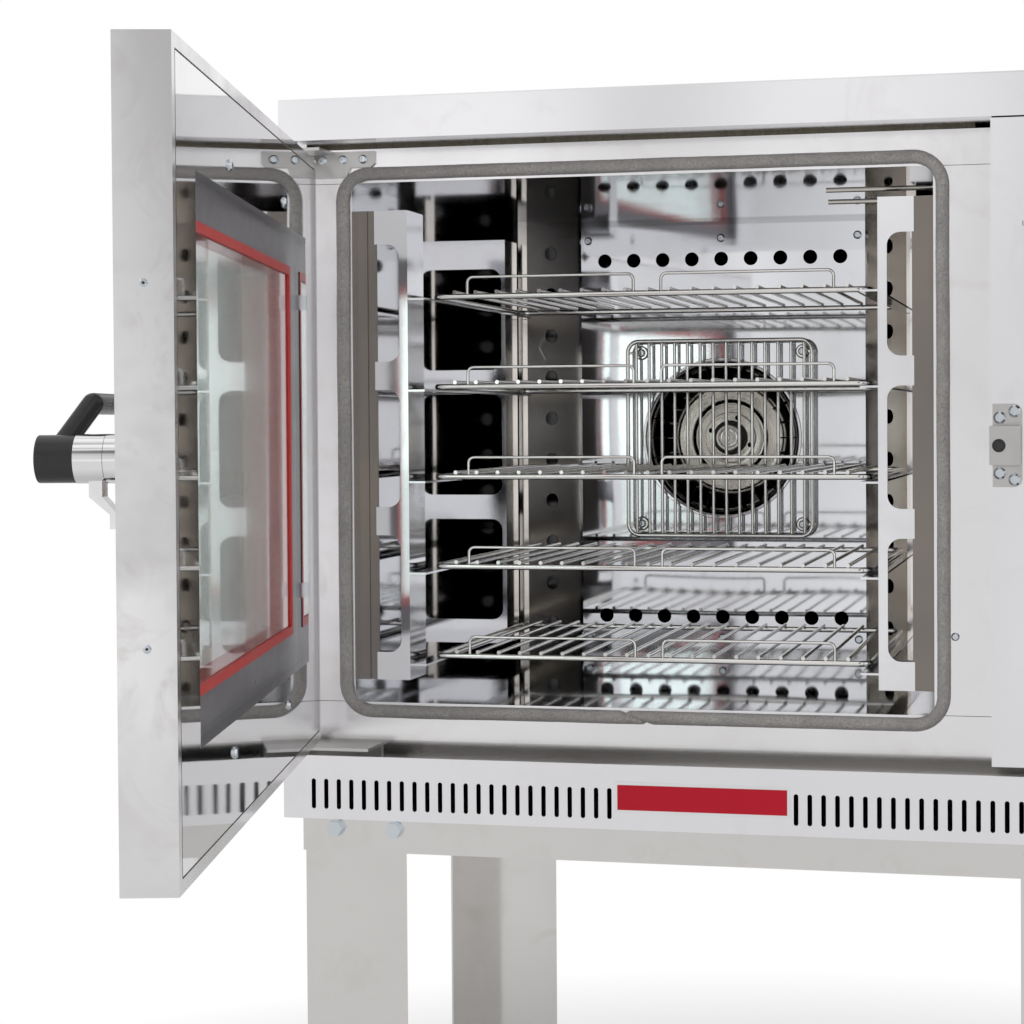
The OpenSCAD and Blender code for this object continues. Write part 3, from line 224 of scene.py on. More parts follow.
def makeSteel(name, plan):
    # sheet with fine grain, a slow wave, wiped smudges, small brown stains, heat tint and, past a depth, painted
    # shade that darkens it to near black
    plan, mix = {**steelBase, **plan}, steelMix
    shade = plan["shade"]
    material, tree, coords = newMaterial(name)
    lines = tree.noise(tree.stretched(coords, grainScale[plan["grain"]]), 1.0, 3.0, 0.6)
    wiped = tree.ramp(tree.noise(coords, 4.5, 5.0, 0.6, 0.6), (0.42, 0), (0.68, 1))
    spots = tree.ramp(tree.noise(coords, 16.0, 6.0, 0.7, 0.8), (0.52, 0), (0.8, 1))
    base = tree.mixed(wiped * (mix["smudgeShade"] * plan["smudge"]), shade, darker(shade, 0.84))
    base = tree.mixed(spots * plan["stain"], base, darker(mix["stainTone"], shade[0]))
    if plan["tintShare"]:
        heat = tree.ramp(tree.noise(coords, 2.6, 3.0, 0.6, 0.4), (0.4, 0), (0.72, 1))
        base = tree.mixed(heat * plan["tintShare"], base, plan["tint"])
    # painted shade: past the depth in the plan the sheet darkens to near black, standing in for the shade at the back
    # of the cavity behind the baffle
    if plan["darkFrom"]:
        depth = tree.parts(coords)[1]
        darkened = ((depth - plan["darkFrom"]) * mix["paintedShadeEdge"]).clamped()
        base = tree.mixed(darkened * mix["paintedShadeShare"], base, mix["paintedShadeTone"])
    roughness = (plan["rough"] + wiped * (mix["smudgeRough"] * plan["smudge"])
                 + spots * (mix["stainRough"] * plan["stain"]))
    if plan["wingFrom"]:
        aside = (tree.parts(coords)[0] - plan["wingCentre"]).absolute()
        wing = ((aside - plan["wingFrom"]) * mix["wingEdge"]).clamped()
        base = tree.mixed(wing, base, mix["wingShade"])
        roughness = roughness + wing * mix["wingRough"]
    normal = tree.bump(lines, plan["grainDepth"], mix["grainHeight"])
    if plan["wave"]:
        normal = tree.bump(tree.noise(coords, plan["waveScale"], 1.0, 0.4), 1.0, plan["wave"], normal)
    values = {"Base Color": base, "Metallic": 1.0, "Roughness": roughness.clamped(), "Normal": normal}
    return finished(material, tree, values)


# ---- the other materials ----
plainBase = {"rough": 0.45, "grain": 300.0, "depth": 0.2, "distance": 0.0002, "mottled": 0.1, "coat": 0.0,
             "gloss": 0.5}
plainPlans = {
    "motor_metal": {"shade": (0.03, 0.03, 0.033), "grain": 220.0, "depth": 0.4, "distance": 0.0004},
    "badge_red": {"shade": (0.52, 0.008, 0.025), "rough": 0.3, "grain": 40.0, "depth": 0.04, "gloss": 0.2},
    "window_border": {"shade": (0.15, 0.143, 0.16), "rough": 0.3, "grain": 60.0, "depth": 0.05},
    "red_silicone": {"shade": (0.56, 0.035, 0.03), "rough": 0.4, "depth": 0.1, "mottled": 0.05},
    "black_rubber": {"shade": (0.018, 0.018, 0.018), "rough": 0.7, "grain": 400.0},
    "lever_plastic": {"shade": (0.014, 0.014, 0.016), "rough": 0.28, "grain": 900.0, "depth": 0.4},
    "knob_plastic": {"shade": (0.012, 0.012, 0.012), "rough": 0.32, "grain": 700.0},
    "unit_plastic": {"shade": (0.03, 0.03, 0.03), "grain": 500.0},
    "gland_plastic": {"shade": (0.02, 0.02, 0.02), "grain": 500.0},
    "lamp_lens": {"shade": (0.75, 0.26, 0.02), "rough": 0.16, "grain": 90.0, "coat": 0.7},
}
fibrePlans = {
    "gasket_cord": {"shade": (0.27, 0.255, 0.245), "light": (0.62, 0.595, 0.575), "scale": 420.0, "depth": 0.0012},
    # wool: darker than the yellow of glass wool, partly its own tone and partly painted shade for the dark gap where
    # it shows
    "wool": {"shade": (0.2, 0.18, 0.13), "light": (0.36, 0.33, 0.25), "scale": 160.0, "depth": 0.003},
}
glassPlan = {"shade": (0.9, 0.95, 0.935), "rough": 0.015, "smear": 0.1, "index": 1.42}
wheelPlan = {"shade": (0.6, 0.57, 0.52), "darkened": (0.012, 0.011, 0.01), "darkFrom": 0.067, "darkTo": 0.07,
             "ringWaves": 900.0, "ringDepth": 0.00008}


def makePlain(name, plan):
    # moulded, cast or painted surface with a fine grain and slight mottling
    plan = {**plainBase, **plan}
    shade = plan["shade"]
    material, tree, coords = newMaterial(name)
    grains = tree.noise(coords, plan["grain"], 4.0, 0.6)
    patches = tree.ramp(tree.noise(coords, 14.0, 4.0, 0.6), (0.35, 0), (0.7, 1))
    values = {
        "Base Color": tree.mixed(patches * plan["mottled"], shade, tuple(1.4 * part + 0.015 for part in shade)),
        "Roughness": (plan["rough"] + (grains - 0.5) * 0.12 + patches * 0.06).clamped(),
        "Normal": tree.bump(grains, plan["depth"], plan["distance"]),
        "Specular IOR Level": plan["gloss"],
        "Coat Weight": plan["coat"],
        "Coat Roughness": 0.08,
    }
    return finished(material, tree, values)


def makeFibre(name, plan):
    # felted or braided fibres
    shade, scale = plan["shade"], plan["scale"]
    material, tree, coords = newMaterial(name)
    fibres = tree.noise(coords, scale, 8.0, 0.72, 1.6)
    strands = tree.add("ShaderNodeTexVoronoi", {}, {"Vector": coords, "Scale": scale * 0.7})
    cloud = tree.ramp(tree.noise(coords, scale * 0.06, 3.0, 0.6), (0.3, 0), (0.75, 1))
    base = tree.mixed(tree.ramp(fibres, (0.36, 0), (0.7, 1)), shade, plan["light"])
    base = tree.mixed(cloud * 0.4, base, darker(shade, 0.62))
    values = {"Base Color": base, "Roughness": 0.95, "Sheen Weight": 0.3,
              "Normal": tree.bump(fibres + strands * 0.5, 0.9, plan["depth"])}
    return finished(material, tree, values)


def makeGlass(name, plan):
    material, tree, coords = newMaterial(name)
    smear = tree.ramp(tree.noise(tree.stretched(coords, (7, 7, 0.8)), 1.6, 4.0, 0.6), (0.42, 0), (0.72, 1))
    values = {
        "Base Color": tree.mixed(smear * 0.3, plan["shade"], darker(plan["shade"], 0.92)),
        "Roughness": plan["rough"] + smear * plan["smear"],
        "IOR": plan["index"],
        "Transmission Weight": 1.0,
    }
    return finished(material, tree, values)


def makeWheelSteel(name, plan):
    # spun disc with rings round the shaft, browned by heat, its blades near black beyond the disc's radius
    low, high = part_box("fan_wheel")
    centre = (low + high) / 2
    material, tree, coords = newMaterial(name)
    placed = tree.add("ShaderNodeMapping", {}, {"Vector": coords, "Location": (-centre.x, 0, -centre.z)})
    across, up = tree.parts(placed)[::2]
    radius = tree.maths("SQRT", across * across + up * up)
    # beyond the disc's radius the blades turn near black and rougher
    darkened = ((radius - plan["darkFrom"]) / (plan["darkTo"] - plan["darkFrom"])).clamped()
    cloud = tree.ramp(tree.noise(coords, 14.0, 4.0, 0.6, 0.5), (0.35, 0), (0.7, 1))
    ripples = tree.maths("SINE", radius * plan["ringWaves"])
    base = tree.mixed(cloud * 0.25, plan["shade"], (0.36, 0.3, 0.22))
    base = tree.mixed(darkened, base, plan["darkened"])
    values = {
        "Base Color": base,
        "Metallic": 1.0,
        "Roughness": (0.17 + cloud * 0.06 + darkened * 0.35).clamped(),
        "Normal": tree.bump(ripples, 1.0, plan["ringDepth"]),
    }
    return finished(material, tree, values)


materials = {"fan_steel": makeWheelSteel("fan_steel", wheelPlan), "door_glass": makeGlass("door_glass", glassPlan)}
for slot, plan in steelPlans.items():
    materials[slot] = makeSteel(slot, plan)
for slot, plan in plainPlans.items():
    materials[slot] = makePlain(slot, plan)
for slot, plan in fibrePlans.items():
    materials[slot] = makeFibre(slot, plan)
slotOf = {part["node"]: part["material_slot"] for part in frame["record"]["subparts"]}
for nodeName, piece in nodes.items():
    material = materials[slotOf[nodeName]]
    if piece.data.materials:
        for index in range(len(piece.data.materials)):
            piece.data.materials[index] = material
    else:
        piece.data.materials.append(material)
print("materials on the frame's nodes")


# ---- pieces made with Geometry Nodes ----
def newTree(name, inputs):
    # a geometry tree with named inputs, each given as (kind, value)
    group = bpy.data.node_groups.new(name, "GeometryNodeTree")
    group.interface.new_socket(name="Geometry", in_out="INPUT", socket_type="NodeSocketGeometry")
    for label, (kind, value) in inputs.items():
        socket = group.interface.new_socket(name=label, in_out="INPUT", socket_type="NodeSocket" + kind)
        if kind != "Object":
            socket.default_value = value
    group.interface.new_socket(name="Geometry", in_out="OUTPUT", socket_type="NodeSocketGeometry")
    tree = Tree(group)
    entry = group.nodes.new("NodeGroupInput")
    return tree, {socket.name: Sock(tree, socket) for socket in entry.outputs if socket.name}


def endTree(tree, geometry, material):
    real = tree.add("GeometryNodeRealizeInstances", {}, {"Geometry": geometry})
    dressed = tree.add("GeometryNodeSetMaterial", {}, {"Geometry": real, "Material": material})
    last = tree.nodeTree.nodes.new("NodeGroupOutput")
    tree.put(last.inputs[0], dressed)
    return tree.nodeTree


def vector(tree, x, y, z):
    return tree.add("ShaderNodeCombineXYZ", {}, {"X": x, "Y": y, "Z": z})


def grown(name, group, values, points=()):
    # runs a tree over loose points and turns the result into a plain mesh
    seed = bpy.data.meshes.new(name + "_seed")
    seed.from_pydata(list(points), [], [])
    holder = bpy.data.objects.new(name + "_holder", seed)
    collection.objects.link(holder)
    modifier = holder.modifiers.new("growth", "NODES")
    modifier.node_group = group
    for item in group.interface.items_tree:
        if item.in_out == "INPUT" and item.name in values:
            value = values[item.name]
            modifier[item.identifier] = list(value) if isinstance(value, (tuple, Vector)) else value
    holder.update_tag()
    graph = bpy.context.evaluated_depsgraph_get()
    mesh = bpy.data.meshes.new_from_object(holder.evaluated_get(graph))
    bpy.data.objects.remove(holder)
    mesh.name = name
    return placed(name, mesh)


def placed(name, mesh, material=None):
    piece = bpy.data.objects.new(name, mesh)
    collection.objects.link(piece)
    if material:
        mesh.materials.append(material)
    return piece


def smoothed(piece, angle=40.0):
    for face in piece.data.polygons:
        face.use_smooth = True
    piece.data.set_sharp_from_angle(angle=math.radians(angle))
    return piece


def joined(bm, lower, upper):
    # a band of faces between two rings of as many points
    count = len(lower)
    for k in range(count):
        bm.faces.new((lower[k], lower[(k + 1) % count], upper[(k + 1) % count], upper[k]))


def closed(bm, bottom, top):
    bm.faces.new(top)
    bm.faces.new(reversed(bottom))


def meshOf(bm, name):
    mesh = bpy.data.meshes.new(name)
    bm.to_mesh(mesh)
    bm.free()
    return mesh


# gasket: a braided cord round the opening, its two ends meeting at the middle of the bottom
gasketPlan = {"width": 0.603, "height": 0.543, "centre": (-0.075, -0.2452, 1.123), "bend": 0.028, "radius": 0.0066,
              "step": 0.0012, "sides": 16, "drift": 0.001, "braid": 0.0006, "joint": 0.0048, "flat": 0.92,
              "thinnest": 0.98, "swelling": 0.04, "grooveDepth": 0.0036, "grooveSlant": 1.9}


def makeGasket():
    plan = gasketPlan
    inputs = {"Width": ("Float", 0.6), "Height": ("Float", 0.5), "Bend": ("Float", 0.03), "Radius": ("Float", 0.006),
              "Step": ("Float", 0.0012), "Sides": ("Int", 16), "Drift": ("Float", 0.001), "Braid": ("Float", 0.0004),
              "Joint": ("Float", 0.003), "Centre": ("Vector", (0, 0, 0))}
    tree, given = newTree("gasketTree", inputs)
    loop = tree.add("GeometryNodeCurvePrimitiveQuadrilateral", {},
                    {"Width": given["Width"], "Height": given["Height"]})
    loop = tree.add("GeometryNodeFilletCurve", {"mode": "POLY"},
                    {"Curve": loop, "Radius": given["Bend"], "Count": 16})
    loop = tree.add("GeometryNodeResampleCurve", {"mode": "LENGTH"}, {"Curve": loop, "Length": given["Step"]})
    spot = tree.add("GeometryNodeInputPosition")
    across, up = tree.parts(spot)[:2]
    below = up.less(given["Height"] * -0.4)
    thick = plan["thinnest"] + plan["swelling"] * tree.noise(spot, 30.0, 2.0)
    sway = tree.noise(spot, 9.0, 1.0)
    swayOther = tree.noise(tree.add("ShaderNodeVectorMath", {"operation": "ADD"}, {0: spot, 1: (3, 5, 7)}), 7.0, 1.0)
    drift = vector(tree, (sway - 0.5) * given["Drift"] * 2.0, (swayOther - 0.5) * given["Drift"] * 2.0, 0.0)
    loop = tree.add("GeometryNodeSetPosition", {}, {"Geometry": loop, "Offset": drift})
    ring = tree.add("GeometryNodeCurvePrimitiveCircle", {}, {"Resolution": given["Sides"], "Radius": given["Radius"]})
    tube = tree.add("GeometryNodeCurveToMesh", {}, {"Curve": loop, "Profile Curve": ring, "Scale": thick})
    outward = tree.add("GeometryNodeInputNormal")
    grains = tree.noise(spot, 260.0, 3.0, 0.6)
    slant = across + plan["grooveSlant"] * (up + 0.5 * given["Height"])
    groove = below * (1.0 - (slant / given["Joint"]).absolute().clamped())
    depth = grains * given["Braid"] + groove * plan["grooveDepth"]
    sunk = tree.add("ShaderNodeVectorMath", {"operation": "SCALE"}, {0: outward, "Scale": -depth})
    tube = tree.add("GeometryNodeSetPosition", {}, {"Geometry": tube, "Offset": sunk})
    tube = tree.add("GeometryNodeTransform", {}, {"Geometry": tube, "Translation": given["Centre"],
                                                 "Rotation": (math.radians(90), 0, 0), "Scale": (1, 1, plan["flat"])})
    group = endTree(tree, tube, materials["gasket_cord"])
    values = {key.capitalize(): value for key, value in plan.items()}
    piece = smoothed(grown("gasket_braid", group, values), 60.0)
    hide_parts("cavity_gasket")
    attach(piece, "oven")


makeGasket()
print("gasket made")

# panel screws: cross-head screws on the panels that the photograph doesn't show
screwPlan = {"head": 0.0041, "rise": 0.0019, "recess": 0.0011, "arm": 0.0021, "root": 0.0007, "sides": 16,
             "sunk": 0.0002, "spin": 6.28, "seed": 4}
screwFields = {
    "rear_panel_screws": {"turn": (-90, 0, 0), "points": [(x, 0.4175, z) for x in (-0.41, 0.41)
                          for z in (0.79, 1.0, 1.21, 1.42)] + [(x, 0.4175, z) for x in (-0.25, -0.075, 0.1, 0.25)
                          for z in (0.765, 1.448)]},
    "motor_cover_screws": {"turn": (-90, 0, 0), "points": [(x, 0.4187, z) for x in (-0.1795, 0.0295)
                           for z in (1.0185, 1.2275)]},
    "left_panel_screws": {"turn": (0, -90, 0), "points": [(-0.425, y, z) for y in (-0.2, 0.09, 0.38)
                          for z in (0.764, 1.45)]},
}


def makeScrewHead():
    # a low domed head with a cross recess, its axis on +Z
    plan = screwPlan
    head, rise = plan["head"], plan["rise"]
    bm = bmesh.new()
    count = plan["sides"]
    star = [plan["arm"] if k % 4 == 0 else plan["root"] if k % 4 == 2 else plan["root"] * 1.2 for k in range(count)]
    levels = [([head] * count, -plan["sunk"]), ([head] * count, 0.3 * rise), ([0.93 * head] * count, 0.62 * rise),
              ([0.72 * head] * count, 0.93 * rise), (star, rise), ([0.8 * r for r in star], rise - plan["recess"])]
    rings = []
    for radii, height in levels:
        angles = [2 * math.pi * k / count for k in range(count)]
        rings.append([bm.verts.new((r * math.cos(a), r * math.sin(a), height)) for r, a in zip(radii, angles)])
    for lower, upper in zip(rings, rings[1:]):
        joined(bm, lower, upper)
    closed(bm, rings[0], rings[-1])
    return bpy.data.objects.new("screw_head", meshOf(bm, "screw_head"))


def makeScrews():
    inputs = {"Head": ("Object", None), "Turn": ("Vector", (0, 0, 0)), "Spin": ("Float", 1.0)}
    tree, given = newTree("screwTree", inputs)
    head = tree.add("GeometryNodeObjectInfo", {}, {"Object": given["Head"], "As Instance": True}, out="Geometry")
    spin = tree.nodeTree.nodes.new("FunctionNodeRandomValue")
    tree.put(spin.inputs["Seed"], screwPlan["seed"])
    angle = vector(tree, 0.0, 0.0, Sock(tree, spin.outputs[1]) * given["Spin"])
    points = tree.add("GeometryNodeInstanceOnPoints", {}, {"Points": given["Geometry"], "Instance": head,
                                                          "Rotation": given["Turn"]})
    points = tree.add("GeometryNodeRotateInstances", {}, {"Instances": points, "Rotation": angle})
    group = endTree(tree, points, materials["screw_zinc"])
    head = makeScrewHead()
    for name, field in screwFields.items():
        turn = tuple(math.radians(part) for part in field["turn"])
        values = {"Head": head, "Turn": turn, "Spin": screwPlan["spin"]}
        piece = smoothed(grown(name, group, values, field["points"]), 35.0)
        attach(piece, "oven")
    bpy.data.objects.remove(head)


makeScrews()
print("screws made")

# dials: printed ticks round each knob, every so many of them long, with generic numbers
dialPlan = {
    "face": -0.2926, "across": 0.3495, "radius": 0.0305, "length": 0.0032, "longLength": 0.0055, "width": 0.0007,
    "thick": 0.00012, "numberRadius": 0.0425, "numberSize": 0.0072, "numberSmooth": 3,
}
dials = {
    "thermostat_dial": {"height": 1.3235, "sweep": 300.0, "ticks": 26, "every": 5,
                        "numbers": ["50", "100", "150", "200", "250", "300"]},
    "timer_dial": {"height": 1.2135, "sweep": 300.0, "ticks": 25, "every": 4,
                   "numbers": ["0", "20", "40", "60", "80", "100", "120"]},
    "selector_dial": {"height": 1.0035, "sweep": 90.0, "ticks": 4, "every": 1, "numbers": ["0", "1", "2", "3"]},
}


def makeDials():
    inputs = {"Count": ("Int", 20), "Every": ("Int", 5), "Start": ("Float", 0.0), "Sweep": ("Float", 5.0),
              "Radius": ("Float", 0.03), "Length": ("Float", 0.003), "Long": ("Float", 0.005),
              "Width": ("Float", 0.0007), "Thick": ("Float", 0.0001), "Centre": ("Vector", (0, 0, 0))}
    tree, given = newTree("dialTree", inputs)
    line = tree.add("GeometryNodeMeshLine", {}, {"Count": given["Count"], "Offset": (0.001, 0, 0)})
    index = tree.add("GeometryNodeInputIndex")
    angle = given["Start"] + given["Sweep"] * index / (given["Count"] - 1.0)
    isLong = tree.maths("MODULO", index, given["Every"]).less(0.5)
    reach = given["Length"] + (given["Long"] - given["Length"]) * isLong
    middle = given["Radius"] + reach * 0.5
    spot = vector(tree, tree.maths("SINE", angle) * middle, 0.0, tree.maths("COSINE", angle) * middle)
    spread = tree.add("GeometryNodeSetPosition", {}, {"Geometry": line, "Position": spot})
    block = tree.add("GeometryNodeMeshCube", {}, {"Size": vector(tree, given["Width"], given["Thick"], 1.0)})
    ticks = tree.add("GeometryNodeInstanceOnPoints", {}, {"Points": spread, "Instance": block,
                     "Rotation": vector(tree, 0.0, angle, 0.0), "Scale": vector(tree, 1.0, 1.0, reach)})
    ticks = tree.add("GeometryNodeTransform", {}, {"Geometry": ticks, "Translation": given["Centre"]})
    group = endTree(tree, ticks, materials["unit_plastic"])
    plan = dialPlan
    for name, dial in dials.items():
        first = math.radians(-0.5 * dial["sweep"])
        centre = Vector((plan["across"], plan["face"], dial["height"]))
        values = {"Count": dial["ticks"], "Every": dial["every"], "Start": first, "Long": plan["longLength"],
                  "Sweep": math.radians(dial["sweep"]), "Radius": plan["radius"], "Length": plan["length"],
                  "Width": plan["width"], "Thick": plan["thick"], "Centre": centre}
        ticks = grown(name + "_ticks", group, values)
        bm = bmesh.new()
        bm.from_mesh(ticks.data)
        bpy.data.objects.remove(ticks)
        for place, number in enumerate(dial["numbers"]):
            turn = first + math.radians(dial["sweep"]) * place / (len(dial["numbers"]) - 1)
            spot = centre + plan["numberRadius"] * Vector((math.sin(turn), 0, math.cos(turn)))
            addNumber(bm, number, spot)
        piece = placed(name, meshOf(bm, name), materials["unit_plastic"])
        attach(piece, "oven")


def addNumber(bm, number, spot):
    curve = bpy.data.curves.new("number", "FONT")
    curve.body = number
    curve.size = dialPlan["numberSize"]
    curve.align_x, curve.align_y = "CENTER", "CENTER"
    curve.extrude = 0.5 * dialPlan["thick"]
    curve.resolution_u = dialPlan["numberSmooth"]
    holder = bpy.data.objects.new("number", curve)
    collection.objects.link(holder)
    mesh = bpy.data.meshes.new_from_object(holder.evaluated_get(bpy.context.evaluated_depsgraph_get()))
    mesh.transform(Matrix.Translation(spot) @ Matrix.Rotation(math.radians(90), 4, "X"))
    bm.from_mesh(mesh)
    bpy.data.objects.remove(holder)
    bpy.data.curves.remove(curve)


makeDials()
print("dials made")

# turned trims: profiles of (radius, height) in millimetres, each round its own axis
toFront = (0, -1, 0)
wheelFace = [(-75.0, 296.0, 1123.0)]
turnedTrims = {
    "keeper_plug": {
        "profile": [(4.8, -1.9), (5.0, 0.0), (6.2, 0.0), (6.2, 0.6), (5.8, 1.6), (5.1, 1.6), (4.6, 0.8), (1.2, 0.7)],
        "places": [(281.7, -306.0, 1119.5)], "axis": toFront, "body": "oven", "slot": "gland_plastic"},
    "wheel_dish": {
        "profile": [(67.0, 0.05), (66.6, 0.7), (65.2, 1.3), (63.0, 1.5), (60.5, 1.2), (58.0, 1.0), (55.5, 1.3),
                    (53.0, 1.5), (50.5, 1.3), (48.0, 1.5), (45.8, 2.6), (44.2, 3.9), (43.1, 4.4), (43.1, 0.05)],
        "places": wheelFace, "axis": toFront, "body": "fan", "slot": "fan_steel", "ring": True,
        "sides": 96},
    "wheel_boss": {
        "profile": [(41.5, 3.9), (41.0, 4.5), (38.5, 4.9), (36.0, 4.6), (33.5, 4.8), (31.0, 4.3), (30.6, 3.9)],
        "places": wheelFace, "axis": toFront, "body": "fan", "slot": "fan_steel", "ring": True,
        "sides": 96},
    "hub_collar": {
        "profile": [(21.4, 3.9), (21.4, 5.4), (20.4, 6.2), (18.6, 6.4), (18.4, 17.6), (17.5, 18.4), (15.4, 18.4),
                    (15.1, 17.9), (17.05, 17.9), (17.05, 3.9)],
        "places": wheelFace, "axis": toFront, "body": "fan", "slot": "element_steel", "ring": True,
        "sides": 64},
    "hub_washer": {
        "profile": [(12.6, 17.9), (12.6, 18.9), (11.8, 19.5), (8.4, 19.7), (8.0, 19.1), (7.2, 19.1), (7.2, 17.9)],
        "places": wheelFace, "axis": toFront, "body": "fan", "slot": "wire_steel", "ring": True,
        "sides": 48},
    "hub_socket": {
        "profile": [(3.2, 21.5), (3.6, 22.4), (3.1, 22.5), (2.7, 21.9), (0.8, 21.7)],
        "places": wheelFace, "axis": toFront, "body": "fan", "slot": "element_steel", "sides": 6},
    "inlet_flare": {
        "profile": [(96.8, 0.05), (96.0, 0.9), (94.6, 0.5), (93.0, -1.6), (90.6, -5.4), (88.2, -9.6), (87.0, -12.0),
                    (86.2, -12.0), (87.4, -8.8), (89.8, -4.6), (92.4, -0.6), (94.6, 1.6), (97.0, 1.7), (97.6, 0.9),
                    (97.4, 0.05)],
        "places": [(-75.0, 233.5, 1123.0)], "axis": toFront, "body": "oven", "slot": "rack_steel", "ring": True,
        "sides": 96},
    "grille_gaskets": {
        "profile": [(8.6, 0.05), (8.5, 0.9), (7.9, 1.3), (7.15, 1.2), (7.1, 0.05)],
        "places": [(x, 233.5, z) for x in (-174.0, 24.0) for z in (1019.0, 1227.0)], "axis": toFront,
        "body": "oven", "slot": "element_steel", "ring": True},
    "rivet_pins": {
        "profile": [(0.9, 0.0), (0.9, 1.1), (0.7, 1.3), (0.3, 1.35)],
        "places": [(-251.56, -938.75, 1237.3), (-251.56, -938.75, 992.54)], "axis": (0.236838, -0.971549, 0),
        "body": "door", "slot": "black_rubber", "sides": 16},
}


def turned(bm, profile, place, axis, sides, isRing):
    # turns a profile round an axis: a ring closes on itself, and anything else gets its two ends
    angles = [2 * math.pi * k / sides for k in range(sides)]
    rings = [[bm.verts.new((r * math.cos(a), r * math.sin(a), h)) for a in angles] for r, h in profile]
    pairs = list(zip(rings, rings[1:]))
    if isRing:
        pairs.append((rings[-1], rings[0]))
    else:
        closed(bm, rings[0], rings[-1])
    for lower, upper in pairs:
        joined(bm, lower, upper)
    turn = Vector(axis).to_track_quat("Z", "Y").to_matrix().to_4x4()
    where = Matrix.Translation(Vector(place) * 0.001) @ turn @ Matrix.Scale(0.001, 4)
    bmesh.ops.transform(bm, matrix=where, verts=[v for ring in rings for v in ring])


def makeTurnedTrims():
    for name, plan in turnedTrims.items():
        bm = bmesh.new()
        for place in plan["places"]:
            turned(bm, plan["profile"], place, plan["axis"], plan.get("sides", 28), plan.get("ring", False))
        bmesh.ops.recalc_face_normals(bm, faces=bm.faces)
        piece = smoothed(placed(name, meshOf(bm, name), materials[plan["slot"]]), 35.0)
        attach(piece, plan["body"])


makeTurnedTrims()

# knob marks: a pale inlaid line on each knob
markPlan = {"width": 0.0016, "length": 0.011, "from": 0.011, "rise": 0.00015, "sunk": 0.0004,
            "sides": 6}


def makeMarks():
    for name, body in (("thermostat_knob", "thermostat_knob_body"), ("timer_knob", "timer_knob_body"),
                       ("selector_knob", "selector_knob_body")):
        low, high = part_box(name)
        middle = (low + high) / 2
        half, first = 0.5 * markPlan["width"], markPlan["from"]
        last = first + markPlan["length"]
        outline = []
        for height, turn in ((last, 0), (first, 180)):
            for k in range(markPlan["sides"] + 1):
                angle = math.radians(turn + 180 * k / markPlan["sides"])
                outline.append((half * math.cos(angle), height + half * math.sin(angle)))
        bm = bmesh.new()
        levels = (low.y + markPlan["sunk"], low.y - markPlan["rise"])
        rings = [[bm.verts.new((middle.x + x, y, middle.z + z)) for x, z in outline] for y in levels]
        joined(bm, *rings)
        closed(bm, *rings)
        bmesh.ops.recalc_face_normals(bm, faces=bm.faces)
        piece = placed(name + "_mark", meshOf(bm, name + "_mark"), materials["badge_silver"])
        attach(piece, body)


makeMarks()
print("turned trims and knob marks made")

# ---- camera, at the photograph's place ----
cameraPlan = {"place": (0.3696, -2.1946, 1.1425), "yaw": -11.967, "pitch": -1.0855, "roll": -0.3013,
              "focalPixels": 2034.76, "shift": (-0.15, -0.05), "picture": 1024.0}


def makeCamera():
    data = bpy.data.cameras.new("camera")
    camera = bpy.data.objects.new("camera", data)
    collection.objects.link(camera)
    bpy.context.scene.camera = camera
    data.sensor_width = 36.0
    data.lens = cameraPlan["focalPixels"] / cameraPlan["picture"] * data.sensor_width
    data.shift_x, data.shift_y = cameraPlan["shift"]
    yaw, pitch, roll = (math.radians(cameraPlan[key]) for key in ("yaw", "pitch", "roll"))
    ahead = Vector((math.sin(yaw) * math.cos(pitch), math.cos(yaw) * math.cos(pitch), math.sin(pitch)))
    aside = Vector((math.cos(yaw), -math.sin(yaw), 0))
    above = aside.cross(ahead)
    axisX = aside * math.cos(roll) + above * math.sin(roll)
    axisY = above * math.cos(roll) - aside * math.sin(roll)
    turn = Matrix((axisX, axisY, -ahead)).transposed().to_4x4()
    camera.matrix_world = Matrix.Translation(cameraPlan["place"]) @ turn


makeCamera()

# ---- floor, world and lamps ----
stage = {"floorSize": 14.0, "floorShade": 0.8, "clearFrom": 1.1, "clearTo": 2.0, "worldShade": 0.5,
         "brightPatch": 1.1, "darkPatch": 0.2, "mirroredFloor": 0.8}


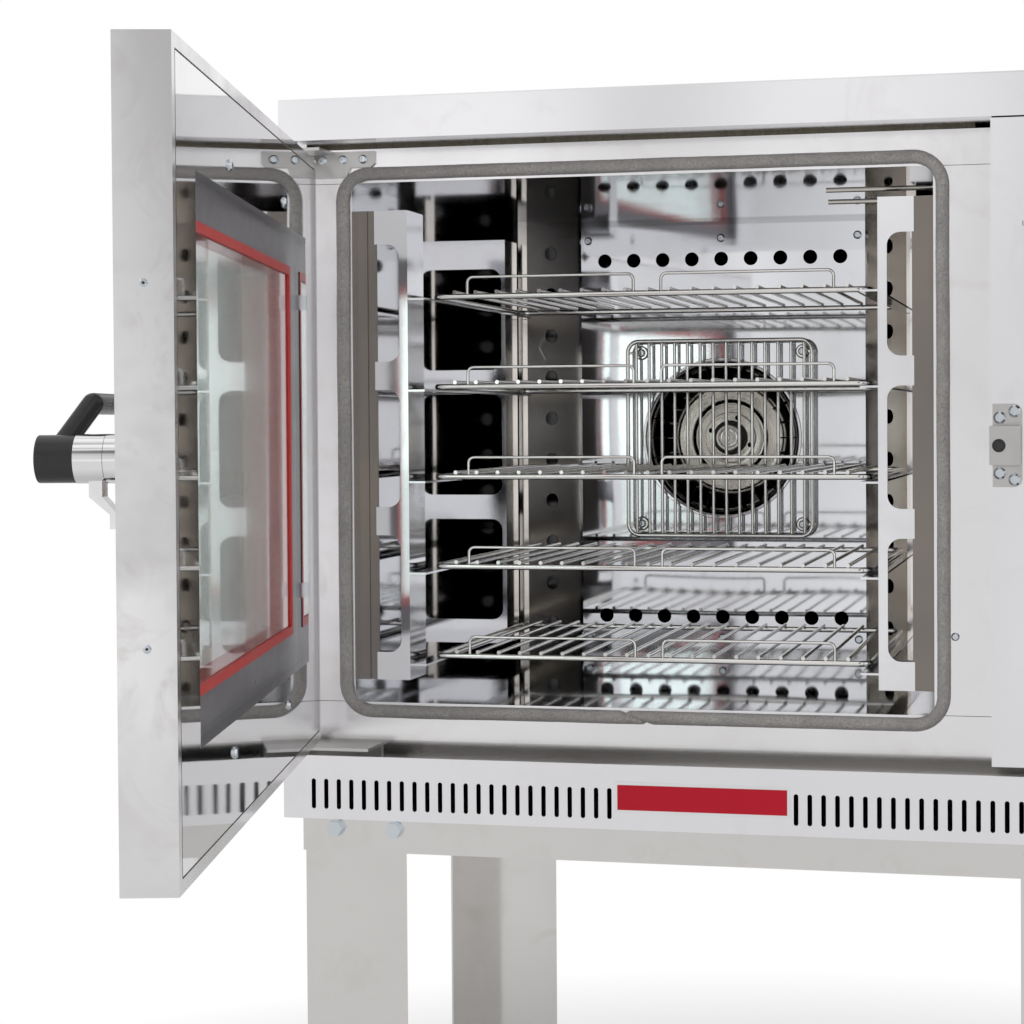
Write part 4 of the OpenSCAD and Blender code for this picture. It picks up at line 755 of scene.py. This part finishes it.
def makeFloor():
    mesh = bpy.data.meshes.new("floor")
    half = stage["floorSize"] / 2
    corners = [(-half, -half, 0), (half, -half, 0), (half, half, 0), (-half, half, 0)]
    mesh.from_pydata(corners, [], [(0, 1, 2, 3)])
    material, tree, coords = newMaterial("floor_paint")
    away = tree.add("ShaderNodeVectorMath", {"operation": "LENGTH"}, {0: coords}, out=1)
    clear = ((away - stage["clearFrom"]) / (stage["clearTo"] - stage["clearFrom"])).clamped()
    seen = (tree.ray("Camera") + tree.ray("Glossy") + tree.ray("Transmission")).clamped()
    shade = (stage["floorShade"],) * 3
    base = tree.mixed(tree.noise(coords, 30.0, 4.0, 0.6) * 0.6, shade, darker(shade, 0.92))
    matte = tree.add("ShaderNodeBsdfDiffuse", {}, {"Color": base})
    strength = 1.0 - tree.ray("Glossy") * (1.0 - stage["mirroredFloor"])
    white = tree.add("ShaderNodeEmission", {}, {"Color": (1, 1, 1, 1), "Strength": strength})
    both = tree.add("ShaderNodeMixShader", {}, {0: clear * seen, 1: matte, 2: white})
    tree.end("ShaderNodeOutputMaterial", both)
    placed("floor", mesh, material)


def makeWorld():
    world = bpy.data.worlds.new("studio")
    bpy.context.scene.world = world
    world.use_nodes = True
    world.node_tree.nodes.clear()
    sky = Tree(world.node_tree)
    way = sky.add("ShaderNodeTexCoord", out=0)
    clouds = sky.noise(sky.stretched(way, (2.4, 2.4, 0.5)), 1.7, 2.0, 0.5)
    patches = sky.ramp(clouds, (0.47, stage["brightPatch"]), (0.64, stage["darkPatch"]))
    reflected = sky.add("ShaderNodeBackground", {}, {"Color": patches, "Strength": 1.0})
    plain = sky.add("ShaderNodeBackground", {}, {"Color": (1, 1, 1, 1), "Strength": stage["worldShade"]})
    backdrop = sky.add("ShaderNodeBackground", {}, {"Color": (1, 1, 1, 1), "Strength": 1.0})
    seen = (sky.ray("Camera") + sky.ray("Transmission")).clamped()
    lit = sky.add("ShaderNodeMixShader", {}, {0: sky.ray("Glossy"), 1: plain, 2: reflected})
    whole = sky.add("ShaderNodeMixShader", {}, {0: seen, 1: lit, 2: backdrop})
    sky.end("ShaderNodeOutputWorld", whole)


lamps = {
    "keyLamp": {"place": (-1.6, -3.2, 3.0), "aim": (0.0, 0.0, 1.1), "size": 4.5, "power": 60.0},
    "sideLamp": {"place": (3.0, -2.4, 2.2), "aim": (0.0, 0.0, 1.0), "size": 4.0, "power": 34.0},
    "backLamp": {"place": (0.5, 3.4, 2.8), "aim": (0.0, 0.0, 1.0), "size": 4.0, "power": 40.0},
}


def makeLamps():
    for name, plan in lamps.items():
        data = bpy.data.lights.new(name, "AREA")
        data.energy = plan["power"]
        data.size = plan["size"]
        lamp = bpy.data.objects.new(name, data)
        lamp.visible_glossy = False
        collection.objects.link(lamp)
        turn = (Vector(plan["aim"]) - Vector(plan["place"])).to_track_quat("-Z", "Y").to_matrix().to_4x4()
        lamp.matrix_world = Matrix.Translation(plan["place"]) @ turn


makeFloor()
makeWorld()
makeLamps()
bpy.context.scene.view_settings.view_transform = "Standard"
print("floor, world and lamps placed")
